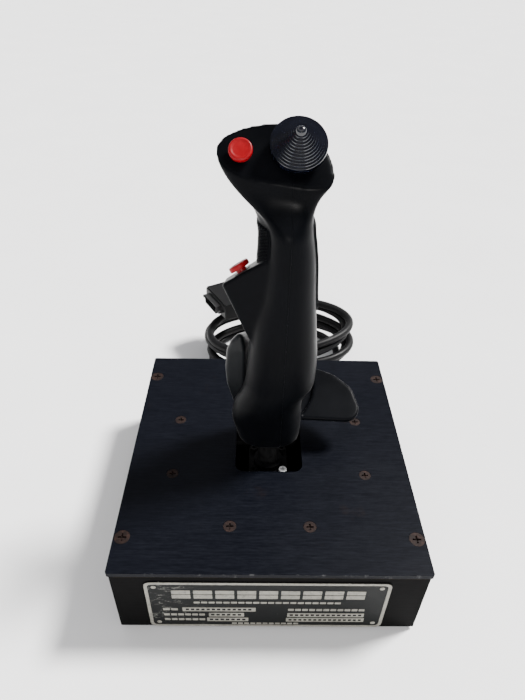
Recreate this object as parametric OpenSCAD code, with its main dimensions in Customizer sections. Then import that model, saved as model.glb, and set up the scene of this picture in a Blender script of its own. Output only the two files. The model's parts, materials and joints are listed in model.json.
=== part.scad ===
// Desktop flight control stick: a moulded pistol grip on a two-axis gimbal in a boxed base.
// Millimetres, +Z up, +Y away from the user, origin under the middle of the base on the surface it stands on.

/* [Base] */
// Width of the base
base_w = 178; // [170:1:190]
// Depth of the base
base_d = 184.4; // [178:0.2:196]
// Height of the case, without its feet
case_h = 58.6; // [57:0.2:66]
// Thickness of the top plate
plate_t = 3; // [2:0.5:4]
// Thickness of the four boards
board_t = 10; // [8:1:12]
// Side of the square opening for the stick
opening = 43.2; // [40:0.4:46]
// Height of the rubber feet
foot_h = 2; // [1:0.5:4]

/* [Gimbal] */
// Depth of both stick axes under the top surface
gimbal_drop = 27; // [25:1:29]
// Radius of the pivot pins
pin_r = 3; // [2.5:0.1:3.2]
// Radial play of every running fit
play = 0.05; // [0.02:0.01:0.08]

/* [Grip] */
// Radius of the stick tube
tube_r = 7; // [6:0.5:7.5]
// Wall of the grip shells
shell_t = 2.6; // [2.2:0.2:3]
// Sideways place of the seam between the two shells
seam_x = 6.5; // [5:0.5:8]
// Tilt of the switch face at the top of the grip
face_tilt = 43.8; // [40:0.2:48]
// Radius of the hat's rim
hat_r = 13.4; // [11:0.1:13.6]
// Height of the hat's cone
hat_h = 12.5; // [8:0.5:14]
// Radius of the push buttons
button_r = 5.7; // [5:0.1:6]

/* [Cord] */
// Diameter of the cord
cord_d = 7; // [6:0.5:7]

/* [Hidden] */
$fn = 48;

BLACK = "#1b1c20";
DARK = "#2a2b30";
RED = "#c8202a";
STEEL = "#b9bcc0";
BRASS = "#c9a552";
RUST = "#4a2f28";
WHITE = "#e8e6df";
GREEN = "#1f5a38";

// --- Driving places worked out from the sizes above ---
deck_z = foot_h + case_h;
under_z = deck_z - plate_t;
gimbal_z = deck_z - gimbal_drop;
reveal = 1;                              // how far the top plate overhangs the boards
board_x = base_w / 2 - reveal;           // outer face of the side boards
board_y = base_d / 2 - reveal;           // outer face of the front and rear boards
bottom_t = 2.4;
corner_at = [base_w / 2 - 5, 69.7];
bracket_at = [61, 23.75];
deck_at = [23.3, 62];
foot_at = [60, 64];
ring_x = 40;
ring_y = 30;
ring_wall = 8;
ring_half_h = 8;
web_x = 50;                              // inner face of the bracket webs
web_t = 3;
block_y = 15;
spring_r = 5.7;                          // centre radius of a torsion spring's coil
spring_leg = 16.5;                       // how far its legs hang below the axis
tang_z = 12;                             // how far the tangs' tops hang below it
spring_wire = 0.7;                       // radius of its wire
seam_gap = 0.02;                         // each shell stops this far short of the seam

// The switch face: its own frame has x to the right, y up the slope and z out of the face.
face_at = [0, 8.5, deck_z + 192.4];
hat_at = [8.5, 0.3];
thumb_at = [-18.3, -1.4];
// The side button stands on a ledge that faces left, up and forward.
ledge_normal = [-0.53, 0.33, 0.78];
ledge_at = [-17.4, 1.4, deck_z + 132.2];
trigger_at = [5.2, 19, deck_z + 165];
trigger_w = 9.6;
pinky_at = [-17.5, 12, deck_z + 37];
pinky_axis = 54;                         // heading of the pinky lever's pin, from +X towards +Y

// --- Small helpers ---
module mirror_x() {
    children();
    mirror([1, 0, 0]) children();
}

module four_at(p) {
    for (sx = [-1, 1], sy = [-1, 1]) translate([sx * p[0], sy * p[1], 0]) children();
}

module along_x() rotate([0, 90, 0]) children();

module along_y() rotate([-90, 0, 0]) children();

module on_gimbal() translate([0, 0, gimbal_z]) children();

module on_face() translate(face_at) rotate([face_tilt, 0, 0]) children();

// Turns the z axis to the given direction.
module facing(n) {
    heading = atan2(n[1], n[0]);
    lean = acos(n[2] / norm(n));
    rotate([0, 0, heading]) rotate([0, lean, 0]) rotate([0, 0, -heading]) children();
}

module rounded_slab(x, y, z, r) {
    linear_extrude(height = z) square_round(x, y, r);
}

// A rectangle with round corners, made of exact circles and squares.
module square_round(x, y, r) {
    square([x - 2 * r, y], center = true);
    square([x, y - 2 * r], center = true);
    for (sx = [-1, 1], sy = [-1, 1]) translate([sx * (x / 2 - r), sy * (y / 2 - r)]) circle(r = r);
}

module tube(r_out, r_in, h) {
    difference() {
        cylinder(r = r_out, h = h);
        translate([0, 0, -1]) cylinder(r = r_in, h = h + 2);
    }
}

module hex_nut(across, bore_r, h) {
    difference() {
        cylinder(r = across / 2 / cos(30), h = h, $fn = 6);
        translate([0, 0, -1]) cylinder(r = bore_r, h = h + 2);
    }
}

// A countersunk screw, its head flush with z = 0, pointing down.
module flat_screw(head_r, shank_r, length) {
    head_h = head_r - shank_r;
    difference() {
        union() {
            translate([0, 0, -0.5]) cylinder(r = head_r, h = 0.5);
            translate([0, 0, -0.5 - head_h]) cylinder(r1 = shank_r, r2 = head_r, h = head_h);
            translate([0, 0, -length]) cylinder(r = shank_r, h = length - head_h);
        }
        for (a = [0, 90]) rotate([0, 0, a]) translate([-0.45, -head_r * 0.55, -1.3])
            cube([0.9, head_r * 1.1, 2]);
    }
}

// The hole that such a screw needs.
module flat_hole(head_r, shank_r, depth) {
    gap = 0.1;
    head_h = head_r - shank_r;
    translate([0, 0, -0.5]) cylinder(r = head_r + gap, h = 2);
    translate([0, 0, -0.5 - head_h]) cylinder(r1 = shank_r + gap, r2 = head_r + gap, h = head_h);
    translate([0, 0, -depth]) cylinder(r = shank_r + gap, h = depth);
}

// A pan-headed screw standing on z = 0, its shank pointing down.
module pan_screw(head_r, head_h, shank_r, length) {
    difference() {
        union() {
            cylinder(r = head_r, h = head_h);
            translate([0, 0, -length]) cylinder(r = shank_r, h = length + 0.1);
        }
        for (a = [0, 90]) rotate([0, 0, a]) translate([-0.35, -head_r * 0.6, head_h - 0.9])
            cube([0.7, head_r * 1.2, 1]);
    }
}

// --- Sweeping a round wire or cord along points ---
function unit(v) = v / norm(v);

function tangent(path, i) = unit(path[min(i + 1, len(path) - 1)] - path[max(i - 1, 0)]);

function ring_at(path, i, r, sides, ref) =
    let (t = tangent(path, i), u = unit(cross(ref, t)), v = cross(t, u))
    [for (k = [0 : sides - 1]) path[i] + r * (cos(360 * k / sides) * u + sin(360 * k / sides) * v)];

// ref is a direction that the path never follows.
module sweep(path, r, sides, ref) {
    n = len(path);
    points = [for (i = [0 : n - 1]) each ring_at(path, i, r, sides, ref)];
    walls = [for (i = [0 : n - 2], k = [0 : sides - 1])
        let (a = i * sides + k, b = i * sides + (k + 1) % sides, c = b + sides, d = a + sides)
        each [[a, c, b], [a, d, c]]];
    ends = [[for (k = [0 : sides - 1]) k], [for (k = [sides - 1 : -1 : 0]) (n - 1) * sides + k]];
    polyhedron(points = points, faces = concat(walls, ends));
}

// Catmull-Rom value of one column of a table, at a whole or fractional row.
function row(table, i) = table[max(0, min(len(table) - 1, i))];

function curve(a, b, c, d, t) =
    0.5 * (2 * b + (c - a) * t + (2 * a - 5 * b + 4 * c - d) * t * t + (3 * b - a - 3 * c + d) * t * t * t);

function smooth_row(table, u) = let (i = min(floor(u), len(table) - 2), t = u - i)
    curve(row(table, i - 1), row(table, i), row(table, i + 1), row(table, i + 2), t);

function smooth_path(table, per) =
    [for (k = [0 : (len(table) - 1) * per]) smooth_row(table, k / per)];

// --- The grip's sculpted body ---
// Each station: height over the deck, y, tilt, left, right, rear, front, taper towards the left,
// and how far its right-hand end droops to the rear.
STATIONS = [
    [14.4, 0, 0, -20, 19, -15, 19, 0, 0],
    [21, 0, 0, -21.6, 19.6, -16, 22, 0, 0],
    [31, 0, 0, -23.8, 19.6, -16.6, 24.5, 0, 0],
    [41, 0, 0, -21.8, 19.2, -17.4, 25.5, 0, 0],
    [50, 0, 0, -18, 20.2, -17.8, 25.5, 0, 0],
    [56, 0, 0, -16.2, 23.2, -18, 25.2, 0, 0],
    [61, 0, 0, -15.4, 25.6, -18, 25, 0, 0],
    [77, 0, 0, -14.2, 26, -18, 25, 0, 0],
    [94, 0, 0, -13, 24.6, -17.6, 24.2, 0, 0],
    [119, 0, 0, -11, 22.2, -17, 22.6, 0, 0],
    [139, 0, 0, -9.2, 20.7, -16.5, 21.6, 0, 0],
    [149, 0, 0, -8.6, 19.4, -16.2, 21.4, 0, 0],
    [157, 2, 0, -8.8, 18.2, -17.4, 20.6, 0, 0],
    [166.5, 4, 14, -11.8, 17.8, -17, 22.6, 0.04, -0.6],
    [175.5, 6.5, 28, -18.8, 20, -16, 22, 0.12, -2.4],
    [184.5, 8.3, 38, -26.4, 23.6, -16, 18.6, 0.15, -6.2],
    [192.4, 8.5, 43.8, -30.2, 26.8, -16.5, 14.4, 0.15, -10.6]];
LAST = len(STATIONS) - 1;
GRIP_POWER = 2.25;

function bulge(c) = sign(c) * pow(abs(c), 2 / GRIP_POWER);

function grip_ring(u, inset, sides) =
    let (s = smooth_row(STATIONS, u), mid = (s[3] + s[4]) / 2, half = (s[4] - s[3]) / 2 - inset)
    [for (k = [0 : sides - 1])
        let (a = 360 * k / sides, x = half * bulge(cos(a)),
            reach = (sin(a) > 0 ? s[6] : -s[5]) - inset,
            droop = s[8] * pow(max(0, x / half), 2),
            y = reach * bulge(sin(a)) * (1 + s[7] * x / half) + droop)
        [mid + x, s[1] + y * cos(s[2]), deck_z + s[0] + y * sin(s[2])]];

// The body from one station to another, drawn in by an inset.
module grip_loft(from, to, inset, sides, per) {
    count = ceil((to - from) * per);
    points = [for (i = [0 : count]) each grip_ring(from + (to - from) * i / count, inset, sides)];
    walls = [for (i = [0 : count - 1], k = [0 : sides - 1])
        let (a = i * sides + k, b = i * sides + (k + 1) % sides, c = b + sides, d = a + sides)
        each [[a, c, b], [a, d, c]]];
    ends = [[for (k = [0 : sides - 1]) k], [for (k = [sides - 1 : -1 : 0]) count * sides + k]];
    polyhedron(points = points, faces = concat(walls, ends));
}

// Fin on the left that carries the side button.
module ledge() {
    r = 1.6;
    foot = [[-9.5, -7, 88], [-9, 12, 86]];
    hull() {
        for (c = LEDGE_TOP) translate(on_ledge(c) - r * unit(ledge_normal)) sphere(r = r, $fn = 16);
        for (c = foot) translate([c[0], c[1], deck_z + c[2]]) sphere(r = r, $fn = 16);
    }
}

LEDGE_TOP = [[-5, -8], [-27, -2.5], [-26, 12], [-5, 16]];

// The point of the ledge's sloping top over a place in the plan.
function on_ledge(c) = let (n = ledge_normal, p = ledge_at)
    [c[0], c[1], p[2] - (n[0] * (c[0] - p[0]) + n[1] * (c[1] - p[1])) / n[2]];

// Shelf on the right that the heel of the hand rests on, rising towards the front.
module palm_shelf() {
    slope = 20;
    translate([0, 1, deck_z + 25.4]) rotate([slope, 0, 0]) translate([0, -1, -3.6])
        difference() {
            linear_extrude(height = 3.6) hull() {
                translate([48.6, 9.6]) circle(r = 9.8, $fn = 32);
                translate([45, 18]) circle(r = 11, $fn = 32);
                translate([38.5, 25]) circle(r = 10.2, $fn = 32);
                translate([31, 29.5]) circle(r = 9, $fn = 32);
                translate([4, 10]) circle(r = 8.4, $fn = 32);
                translate([6, 24]) circle(r = 8, $fn = 32);
            }
            translate([0, 0, 1]) linear_extrude(height = 4) polygon(SHELF_GAP);
        }
}

// The groove between the shelf's top and the side of the grip.
SHELF_GAP = [[16, 5], [20.5, 4.6], [24, 9], [27.3, 15.7], [28.8, 22], [29, 27], [27.4, 29.6], [24.4, 29.4],
    [20.6, 26], [17.5, 21]];

// Where the pinky lever's foot sinks into the grip, at rest and squeezed.
module pinky_pocket() {
    for (a = [0, 2.8]) pinky_turn(a) pinky_blade(0.8);
}

// Bosses that join the shells across the cavity.
SCREW_AT = [[14, 66], [14, 94], [14, 122], [2, 172]];

module across_at(p) translate([0, p[0], deck_z + p[1]]) along_x() children();

// The hollow inside both shells, with the screw bosses left standing in it.
module grip_cavity() difference() {
    grip_loft(3.4, LAST - 0.55, shell_t, 28, 2);
    for (p = SCREW_AT) across_at(p) translate([0, 0, -40]) cylinder(r = 3.6, h = 80, $fn = 24);
}

// Bores that run through both shells.
module shared_bores() {
    translate([0, 0, deck_z + 10]) cylinder(r = tube_r + 0.1, h = 96);
    translate([-13.1, 0, deck_z + 24]) along_x() cylinder(r = 2.02, h = 26.2);
    for (p = SCREW_AT) across_at(p) {
        translate([0, 0, -4]) cylinder(r = 1.55, h = 40, $fn = 24);
        translate([0, 0, 14]) cylinder(r = 3, h = 30, $fn = 24);
    }
    on_face() translate([hat_at[0], hat_at[1], -9.8]) {
        translate([0, 0, 3.6]) cylinder(r = 8.7, h = 4.6);
        cylinder(r = 7.2, h = 11.8);
    }
    trigger_slot();
}

module left_grip_shell() color(BLACK) difference() {
    union() {
        grip_loft(0, LAST, 0, 44, 3);
        ledge();
    }
    translate([seam_x - seam_gap, -100, deck_z]) cube([100, 200, 220]);
    grip_cavity();
    shared_bores();
    on_face() translate([thumb_at[0], thumb_at[1], -1.8]) button_seat();
    translate(ledge_at) facing(ledge_normal) translate([0, 0, -1.8]) button_seat();
    pinky_pocket();
    translate(pinky_at) facing(pinky_dir()) translate([0, 0, -4.6]) cylinder(r = 1.22, h = 15.7);
}

module right_grip_shell() color(BLACK) difference() {
    union() {
        grip_loft(0, LAST, 0, 44, 3);
        palm_shelf();
    }
    translate([seam_x + seam_gap - 100, -100, deck_z]) cube([100, 200, 220]);
    grip_cavity();
    shared_bores();
}

module button_seat() {
    translate([0, 0, -4.8]) cylinder(r = 5.15, h = 4.8);
    translate([0, 0, -1]) cylinder(r = 4.6, h = 5);
}

module trigger_slot() {
    half = trigger_w / 2 + 0.5;
    translate([trigger_at[0] - half, 6, deck_z + 131]) cube([2 * half, 30, 39]);
    translate([trigger_at[0] - half - 1.55, trigger_at[1], trigger_at[2]]) along_x()
        cylinder(r = 1.4, h = 2 * half + 3.1, $fn = 24);
}

module grip_screws() color(STEEL) for (p = SCREW_AT) across_at(p) {
    translate([0, 0, 14.02]) pan_screw(2.7, 1.8, 1.45, 16);
}

// Cross pin that keys both shells to the tube, blind at both ends.
module grip_pin() color(STEEL) translate([-13, 0, deck_z + 24]) along_x() cylinder(r = 2, h = 26);

// --- Base ---
module top_plate() color(DARK) difference() {
    translate([0, 0, under_z]) rounded_slab(base_w, base_d, plate_t, 1.5);
    translate([0, 0, under_z - 1]) rounded_slab(opening, opening, plate_t + 2, 6);
    translate([0, 0, deck_z]) {
        four_at(corner_at) flat_hole(4.5, 1.9, 20);
        four_at(bracket_at) flat_hole(3.7, 1.7, 20);
        four_at(deck_at) flat_hole(3.8, 1.7, 20);
    }
}

module board(x, y) {
    translate([-x / 2, -y / 2, foot_h]) cube([x, y, case_h - plate_t]);
}

module front_board() color(BLACK) translate([0, -board_y + board_t / 2, 0])
    board(2 * board_x, board_t);

module rear_board() color(BLACK) difference() {
    translate([0, board_y - board_t / 2, 0]) board(2 * board_x, board_t);
    translate([gland_x, board_y + 1, gland_z]) rotate([90, 0, 0]) cylinder(r = gland_r, h = board_t + 2);
}

module side_board() difference() {
    translate([board_x - board_t / 2, 0, 0]) board(board_t, 2 * (board_y - board_t));
    translate([0, 0, deck_z]) four_at(corner_at) flat_hole(4.5, 1.9, 24);
}

module right_board() color(BLACK) side_board();

module left_board() color(BLACK) mirror([1, 0, 0]) side_board();

module bottom_plate() color(DARK) difference() {
    inner_x = board_x - board_t - 0.2;
    inner_y = board_y - board_t - 0.2;
    translate([-inner_x, -inner_y, foot_h]) cube([2 * inner_x, 2 * inner_y, bottom_t]);
    four_at(block_at) translate([0, 0, foot_h - 1]) cylinder(r = 1.7, h = bottom_t + 2);
}

block_at = [board_x - board_t - 6.2, board_y - board_t - 6.2];

module corner_blocks() color("#8a6a44") four_at(block_at) translate([-6, -6, foot_h + bottom_t + 0.1])
    difference() {
        cube([12, 12, case_h - plate_t - bottom_t - 0.2]);
        translate([6, 6, -1]) cylinder(r = 1.6, h = 13);
    }

module rubber_feet() color(BLACK) four_at(foot_at) cylinder(r1 = 6, r2 = 7, h = foot_h);

module corner_screws() color(RUST) translate([0, 0, deck_z - 0.1]) four_at(corner_at)
    flat_screw(4.5, 1.9, 22);

module bracket_screws() color(RUST) four_at(bracket_at) {
    translate([0, 0, deck_z - 0.1]) flat_screw(3.7, 1.7, 11.6);
    translate([0, 0, under_z - 3 - 2.9]) hex_nut(6.6, 1.7, 2.8);
}

module deck_screws() color(RUST) translate([0, 0, deck_z - 0.1]) four_at(deck_at)
    flat_screw(3.8, 1.7, 9);

module bottom_screws() color(STEEL) four_at(block_at) translate([0, 0, foot_h - 0.05])
    mirror([0, 0, 1]) pan_screw(3, 1.6, 1.5, 11);

// A printed plate with a raised border, held by four rivets.
PLATE_W = 137.6;
PLATE_H = 48.6;
plate_z = foot_h + 1 + PLATE_H / 2;

module on_front() translate([-1, -board_y, plate_z]) rotate([90, 0, 0]) children();

module nameplate() color(BLACK) on_front() difference() {
    union() {
        linear_extrude(height = 0.55) square_round(PLATE_W, PLATE_H, 4);
        linear_extrude(height = 0.75) difference() {
            square_round(PLATE_W, PLATE_H, 4);
            square_round(PLATE_W - 4, PLATE_H - 4, 2.6);
        }
    }
    for (sx = [-1, 1], sy = [-1, 1]) translate([sx * rivet_x, sy * rivet_y, -1])
        cylinder(r = 0.85, h = 3);
}

rivet_x = PLATE_W / 2 - 5.4;
rivet_y = PLATE_H / 2 - 5;

module nameplate_rivets() color(STEEL) on_front() for (sx = [-1, 1], sy = [-1, 1])
    translate([sx * rivet_x, sy * rivet_y, 0]) {
        translate([0, 0, 0.56]) cylinder(r1 = 1.6, r2 = 1.1, h = 0.4);
        cylinder(r = 0.8, h = 0.6);
    }

// --- Gimbal ---
// Right-hand bracket: a flange under the plate, a web with the bearing, and a tang for the spring.
module bracket(bore_r, tang) difference() {
    union() {
        translate([web_x, -31, under_z - 3]) cube([19, 62, 3]);
        translate([web_x, -13, gimbal_z - 16]) cube([web_t, 26, under_z - gimbal_z + 16]);
        if (tang) translate([web_x - 2, -5, gimbal_z - tang_z - 3.5]) cube([2.5, 10, 3.5]);
    }
    translate([web_x - 10, 0, gimbal_z]) along_x() cylinder(r = bore_r, h = 20);
    for (sy = [-1, 1]) translate([bracket_at[0], sy * bracket_at[1], under_z - 5])
        cylinder(r = 1.8, h = 8);
}

module right_bracket() color(STEEL) bracket(5, true);

module left_bracket() color(STEEL) mirror([1, 0, 0]) bracket(5, false);

module bearing_bush() color(WHITE) translate([web_x - 1, 0, gimbal_z]) along_x() difference() {
    union() {
        cylinder(r = 6.2, h = 0.95);
        cylinder(r = 4.98, h = web_t + 2);
    }
    translate([0, 0, -1]) cylinder(r = pin_r + play, h = 10);
}

// A panel potentiometer along +Z: bush, nut, can and three lugs, its bore open at z = 0.
module potentiometer(bush_h) {
    difference() {
        union() {
            cylinder(r = 4.9, h = bush_h + 0.2);
            translate([0, 0, bush_h]) cylinder(r = 8.5, h = 10);
            for (x = [-5, 0, 5]) translate([x - 1, -13, bush_h + 2]) cube([2, 6, 0.8]);
        }
        translate([0, 0, -1]) cylinder(r = pin_r + play, h = bush_h + 9);
    }
    translate([0, 0, 0.2]) hex_nut(11.5, 4.91, 2);
}

module pitch_pot() color("#5a6f8a") translate([-web_x + 2.4, 0, gimbal_z]) rotate([0, -90, 0])
    rotate([0, 0, 90]) potentiometer(web_t + 2.5);

module roll_pot() color("#5a6f8a") translate([0, -ring_y + ring_wall + 2.4 - 0.15, gimbal_z])
    rotate([90, 0, 0]) rotate([0, 0, 180]) potentiometer(ring_wall + 2.4);

// A double torsion spring on the x axis, both legs pointing down either side of the tangs.
module torsion_spring(x0, x1) {
    turns = 3.5;
    steps = 56;
    coil = [for (i = [0 : steps]) let (a = 180 + 360 * turns * i / steps)
        [x0 + (x1 - x0) * i / steps, spring_r * cos(a), spring_r * sin(a)]];
    path = concat([[x0, -spring_r, -spring_leg], [x0, -spring_r, -spring_leg / 2]], coil,
        [[x1, spring_r, -spring_leg / 2], [x1, spring_r, -spring_leg]]);
    sweep(path, spring_wire, 6, [1, 0, 0]);
}

module pitch_spring() color(STEEL) on_gimbal() torsion_spring(ring_x + 1.6, web_x - 2.4);

module roll_spring() color(STEEL) on_gimbal() rotate([0, 0, 90])
    torsion_spring(ring_y + 1.6, ring_y + 7.6);

module gimbal_ring() color(BLACK) on_gimbal() difference() {
    union() {
        translate([0, 0, -ring_half_h]) linear_extrude(height = 2 * ring_half_h) difference() {
            square_round(2 * ring_x, 2 * ring_y, 4);
            square_round(2 * (ring_x - ring_wall), 2 * (ring_y - ring_wall), 3);
        }
        // Tang that turns the pitch spring, hung from the right-hand bar.
        translate([ring_x - 3, -5, -tang_z - 3.5]) cube([3, 10, 9]);
        translate([ring_x - 3, -5, -tang_z - 3.5]) cube([8, 10, 3.5]);
        // Fixed tang of the roll spring, on the rear bar.
        translate([-5, ring_y - 3, -tang_z - 3.5]) cube([10, 3, 9]);
        translate([-5, ring_y - 3, -tang_z - 3.5]) cube([10, 7, 3.5]);
    }
    translate([-50, 0, 0]) along_x() cylinder(r = pin_r, h = 100);
    translate([0, ring_y + 1, 0]) rotate([90, 0, 0]) cylinder(r = pin_r + play, h = ring_wall + 2);
    translate([0, -ring_y + ring_wall + 1, 0]) rotate([90, 0, 0]) cylinder(r = 4.92, h = ring_wall + 2);
}

module clip() tube(5, pin_r, 0.8);

module pitch_pins() color(STEEL) on_gimbal() {
    translate([ring_x - ring_wall, 0, 0]) along_x() cylinder(r = pin_r, h = 25.5);
    translate([web_x + web_t + 1.2, 0, 0]) along_x() clip();
    translate([-ring_x + ring_wall, 0, 0]) rotate([0, -90, 0]) cylinder(r = pin_r, h = 28);
}

module pivot_block() color(WHITE) on_gimbal() difference() {
    translate([-13, -block_y, -9]) cube([26, 2 * block_y, 18]);
    translate([0, 0, -10]) cylinder(r = tube_r + 0.02, h = 20);
    translate([0, -30, 0]) along_y() cylinder(r = pin_r + 0.01, h = 60);
    four_at([9.6, 9.6]) cylinder(r = 1.5, h = 10);
}

module roll_pins() color(STEEL) on_gimbal() {
    translate([0, tube_r + 0.6, 0]) along_y() cylinder(r = pin_r, h = 36.8);
    translate([0, ring_y + 13.2, 0]) along_y() clip();
    translate([0, -tube_r - 0.6, 0]) rotate([90, 0, 0]) cylinder(r = pin_r, h = 30);
}

module roll_arm() color(STEEL) on_gimbal() difference() {
    union() {
        translate([-6, ring_y + 9.6, -tang_z - 3.5]) cube([12, 3.4, tang_z + 11]);
        translate([-5, ring_y + 5, -tang_z - 3.5]) cube([10, 5, 3.5]);
    }
    translate([0, ring_y, 0]) along_y() cylinder(r = pin_r, h = 20);
}

module stick_flange() color(STEEL) on_gimbal() translate([0, 0, 9.02]) difference() {
    union() {
        rounded_slab(26, 26, 3, 4);
        cylinder(r = tube_r + 2.5, h = 7);
    }
    translate([0, 0, -1]) cylinder(r = tube_r + 0.02, h = 12);
    four_at([9.6, 9.6]) translate([0, 0, -1]) cylinder(r = 1.6, h = 6);
}

module flange_screws() color(STEEL) on_gimbal() translate([0, 0, 12.05]) four_at([9.6, 9.6]) {
    difference() {
        cylinder(r = 2.6, h = 3.4);
        translate([0, 0, 1.4]) cylinder(r = 1.4, h = 3, $fn = 6);
    }
    translate([0, 0, -9]) cylinder(r = 1.45, h = 9.2);
}

module stick_tube() color(DARK) difference() {
    translate([0, 0, gimbal_z - 9]) tube(tube_r, tube_r - 2, deck_z + 98 - gimbal_z + 9);
    translate([-20, 0, deck_z + 24]) along_x() cylinder(r = 2.02, h = 40);
}

// --- Switches, buttons, trigger and lever ---
module hat_switch() color(DARK) on_face() translate([hat_at[0], hat_at[1], -9.6]) difference() {
    union() {
        translate([0, 0, 3.6]) cylinder(r = 8.5, h = 4.2);
        cylinder(r = 7, h = 10.8);
    }
    translate([0, 0, 2.1]) cylinder(r1 = 5.4, r2 = 6, h = 10);
    translate([-7.4, 0, 9.6 - hat_pivot]) along_x() cylinder(r = hat_pin_r + play, h = 14.8);
}

// A small gimbal ring: two pins out into the housing, and two pins in to the hat's stem.
hat_pivot = 3.2;
hat_pin_r = 0.6;

module hat_cross() color(STEEL) on_face() translate([hat_at[0], hat_at[1], -hat_pivot]) {
    translate([0, 0, -0.8]) tube(5.1, 3.9, 1.6);
    for (a = [0, 180]) rotate([0, 0, a]) {
        translate([4.4, 0, 0]) along_x() cylinder(r = hat_pin_r, h = 2.7);
        translate([0, 2, 0]) along_y() cylinder(r = hat_pin_r, h = 2.4);
    }
}

module hat_cap() color("#20222c") on_face() translate([hat_at[0], hat_at[1], -5]) {
    rings = 11;
    tip_r = 2.4;
    skirt = 3.2;
    top = 8.6 + skirt;
    step_r = (hat_r - tip_r) / rings;
    step_h = (hat_h - 1.6) / rings;
    steps = [for (i = [0 : rings - 1]) each [
        [hat_r - i * step_r, top + i * step_h],
        [hat_r - i * step_r - 0.45 * step_r, top + (i + 0.85) * step_h]]];
    difference() {
        rotate_extrude() polygon(concat([[0, 0], [3.2, 0], [3.2, 8.6], [hat_r - 0.5, 8.6], [hat_r, 9]],
            steps, [[tip_r, top + rings * step_h], [1.7, top + hat_h - 0.6], [0, top + hat_h]]));
        translate([0, -5, 5 - hat_pivot]) along_y() cylinder(r = hat_pin_r + play, h = 10);
    }
}

module push_switch() difference() {
    union() {
        translate([0, 0, -6.4]) cylinder(r = 4.9, h = 4.5);
        translate([0, 0, -2]) cylinder(r = 4.4, h = 2.2);
    }
    translate([0, 0, -5.6]) cylinder(r = 2.8 + play, h = 9);
}

module push_button() {
    translate([0, 0, -4]) cylinder(r = 2.8, h = 6);
    rotate_extrude() polygon([[0, 1.8], [button_r - 0.3, 1.8], [button_r, 2.1], [button_r, 3.9],
        [button_r - 0.25, 4.4], [button_r - 0.9, 4.7], [button_r - 1.6, 4.5], [0, 4.3]]);
}

module thumb_switch() color(DARK) on_face() translate([thumb_at[0], thumb_at[1], 0]) push_switch();

module thumb_button() color(RED) on_face() translate([thumb_at[0], thumb_at[1], 0]) push_button();

module side_switch() color(DARK) translate(ledge_at) facing(ledge_normal) push_switch();

module side_button() color(RED) translate(ledge_at) facing(ledge_normal) push_button();

// The trigger in its own plane: x forward, y up, about the pin.
TRIGGER = [[-4, 4], [4, 4], [7.5, -1], [10.5, -8], [12.4, -15], [13.4, -21.5], [13.6, -27], [12.4, -31.4],
    [9.8, -31.8], [7.6, -27], [5, -20], [1, -14], [-5.5, -13], [-6.5, -10]];

module trigger() color(BLACK) translate([trigger_at[0] - trigger_w / 2, trigger_at[1], trigger_at[2]])
    difference() {
        rotate([90, 0, 90]) linear_extrude(height = trigger_w) offset(r = 0.8) offset(delta = -0.8)
            polygon(TRIGGER);
        translate([-1, 0, 0]) along_x() cylinder(r = 1.3 + play, h = trigger_w + 2);
    }

module trigger_pin() color(STEEL) translate([trigger_at[0] - trigger_w / 2 - 1.95, trigger_at[1],
    trigger_at[2]]) along_x() cylinder(r = 1.3, h = trigger_w + 3.9);

module micro_switch(x, y, z) {
    cube([x, y, z], center = true);
    translate([0, y / 2 + 0.45, z / 4]) cube([x * 0.4, 1.1, 2], center = true);
}

module trigger_switch() color(DARK) translate([trigger_at[0], trigger_at[1] - 15.5, trigger_at[2] - 11.5])
    micro_switch(6, 8, 14);

module trigger_spring() color(STEEL) translate([trigger_at[0], 7.9, trigger_at[2] - 2.2]) {
    turns = 4;
    steps = 40;
    sweep([for (i = [0 : steps]) let (a = 360 * turns * i / steps)
        [1.9 * cos(a), -1.6 + 7.1 * i / steps, 1.9 * sin(a)]], 0.25, 6, [0, 1, 0]);
}

function pinky_dir() = [cos(pinky_axis), sin(pinky_axis), 0];

module pinky_turn(a) translate(pinky_at) rotate(a = a, v = pinky_dir()) children();

// The lever: a rounded paddle that hugs the front left of the grip, drawn about its pin.
module pinky_blade(grow) {
    r = 2.4;
    outer = [[-1.8, -4.5, 47.2], [-4.8, -4.6, 43.6], [-6.9, -4.4, 38], [-8, -4, 25], [-7.2, -4.4, 13],
        [-3.5, -3.5, -2]];
    inner = [[-0.4, -6.2, 40], [-0.6, -6.2, 10], [2.5, 8, 40], [2.5, 9, 8], [1.5, 4.5, -2]];
    hull() for (c = concat(outer, inner)) translate(c) sphere(r = r + grow, $fn = 20);
}

module pinky_lever() color(BLACK) difference() {
    pinky_turn(0) pinky_blade(0);
    translate(pinky_at) facing(pinky_dir()) translate([0, 0, -12]) cylinder(r = 1.2 + play, h = 24);
}

module pinky_pin() color(STEEL) translate(pinky_at) facing(pinky_dir())
    translate([0, 0, -4.5]) cylinder(r = 1.2, h = 15.5);

module pinky_switch() color(DARK) translate([-5.9, 7.2, deck_z + 64]) rotate([0, 0, pinky_axis])
    cube([5, 3, 9], center = true);

// --- Electronics inside the base ---
board_z = under_z - 10;

module circuit_board() color(GREEN) difference() {
    translate([-32, -76, board_z]) cube([64, 26, 1.6]);
    for (sx = [-1, 1]) translate([sx * deck_at[0], -deck_at[1], board_z - 1]) cylinder(r = 1.7, h = 4);
}

module board_parts() color(DARK) translate([0, 0, board_z]) {
    translate([-14, -75, -3.6]) cube([16, 7, 3.5]);
    for (i = [0 : 4]) translate([-16 + 7 * i, -54, -1.5]) along_x() cylinder(r = 1.1, h = 5);
    translate([6, -75, -6.1]) cube([22, 5, 6]);
}

module board_standoffs() color(BRASS) for (sx = [-1, 1]) translate([sx * deck_at[0], -deck_at[1],
    board_z + 1.65]) difference() {
        cylinder(r = 3, h = under_z - board_z - 1.7, $fn = 6);
        translate([0, 0, -1]) cylinder(r = 1.7, h = 14);
    }

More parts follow.
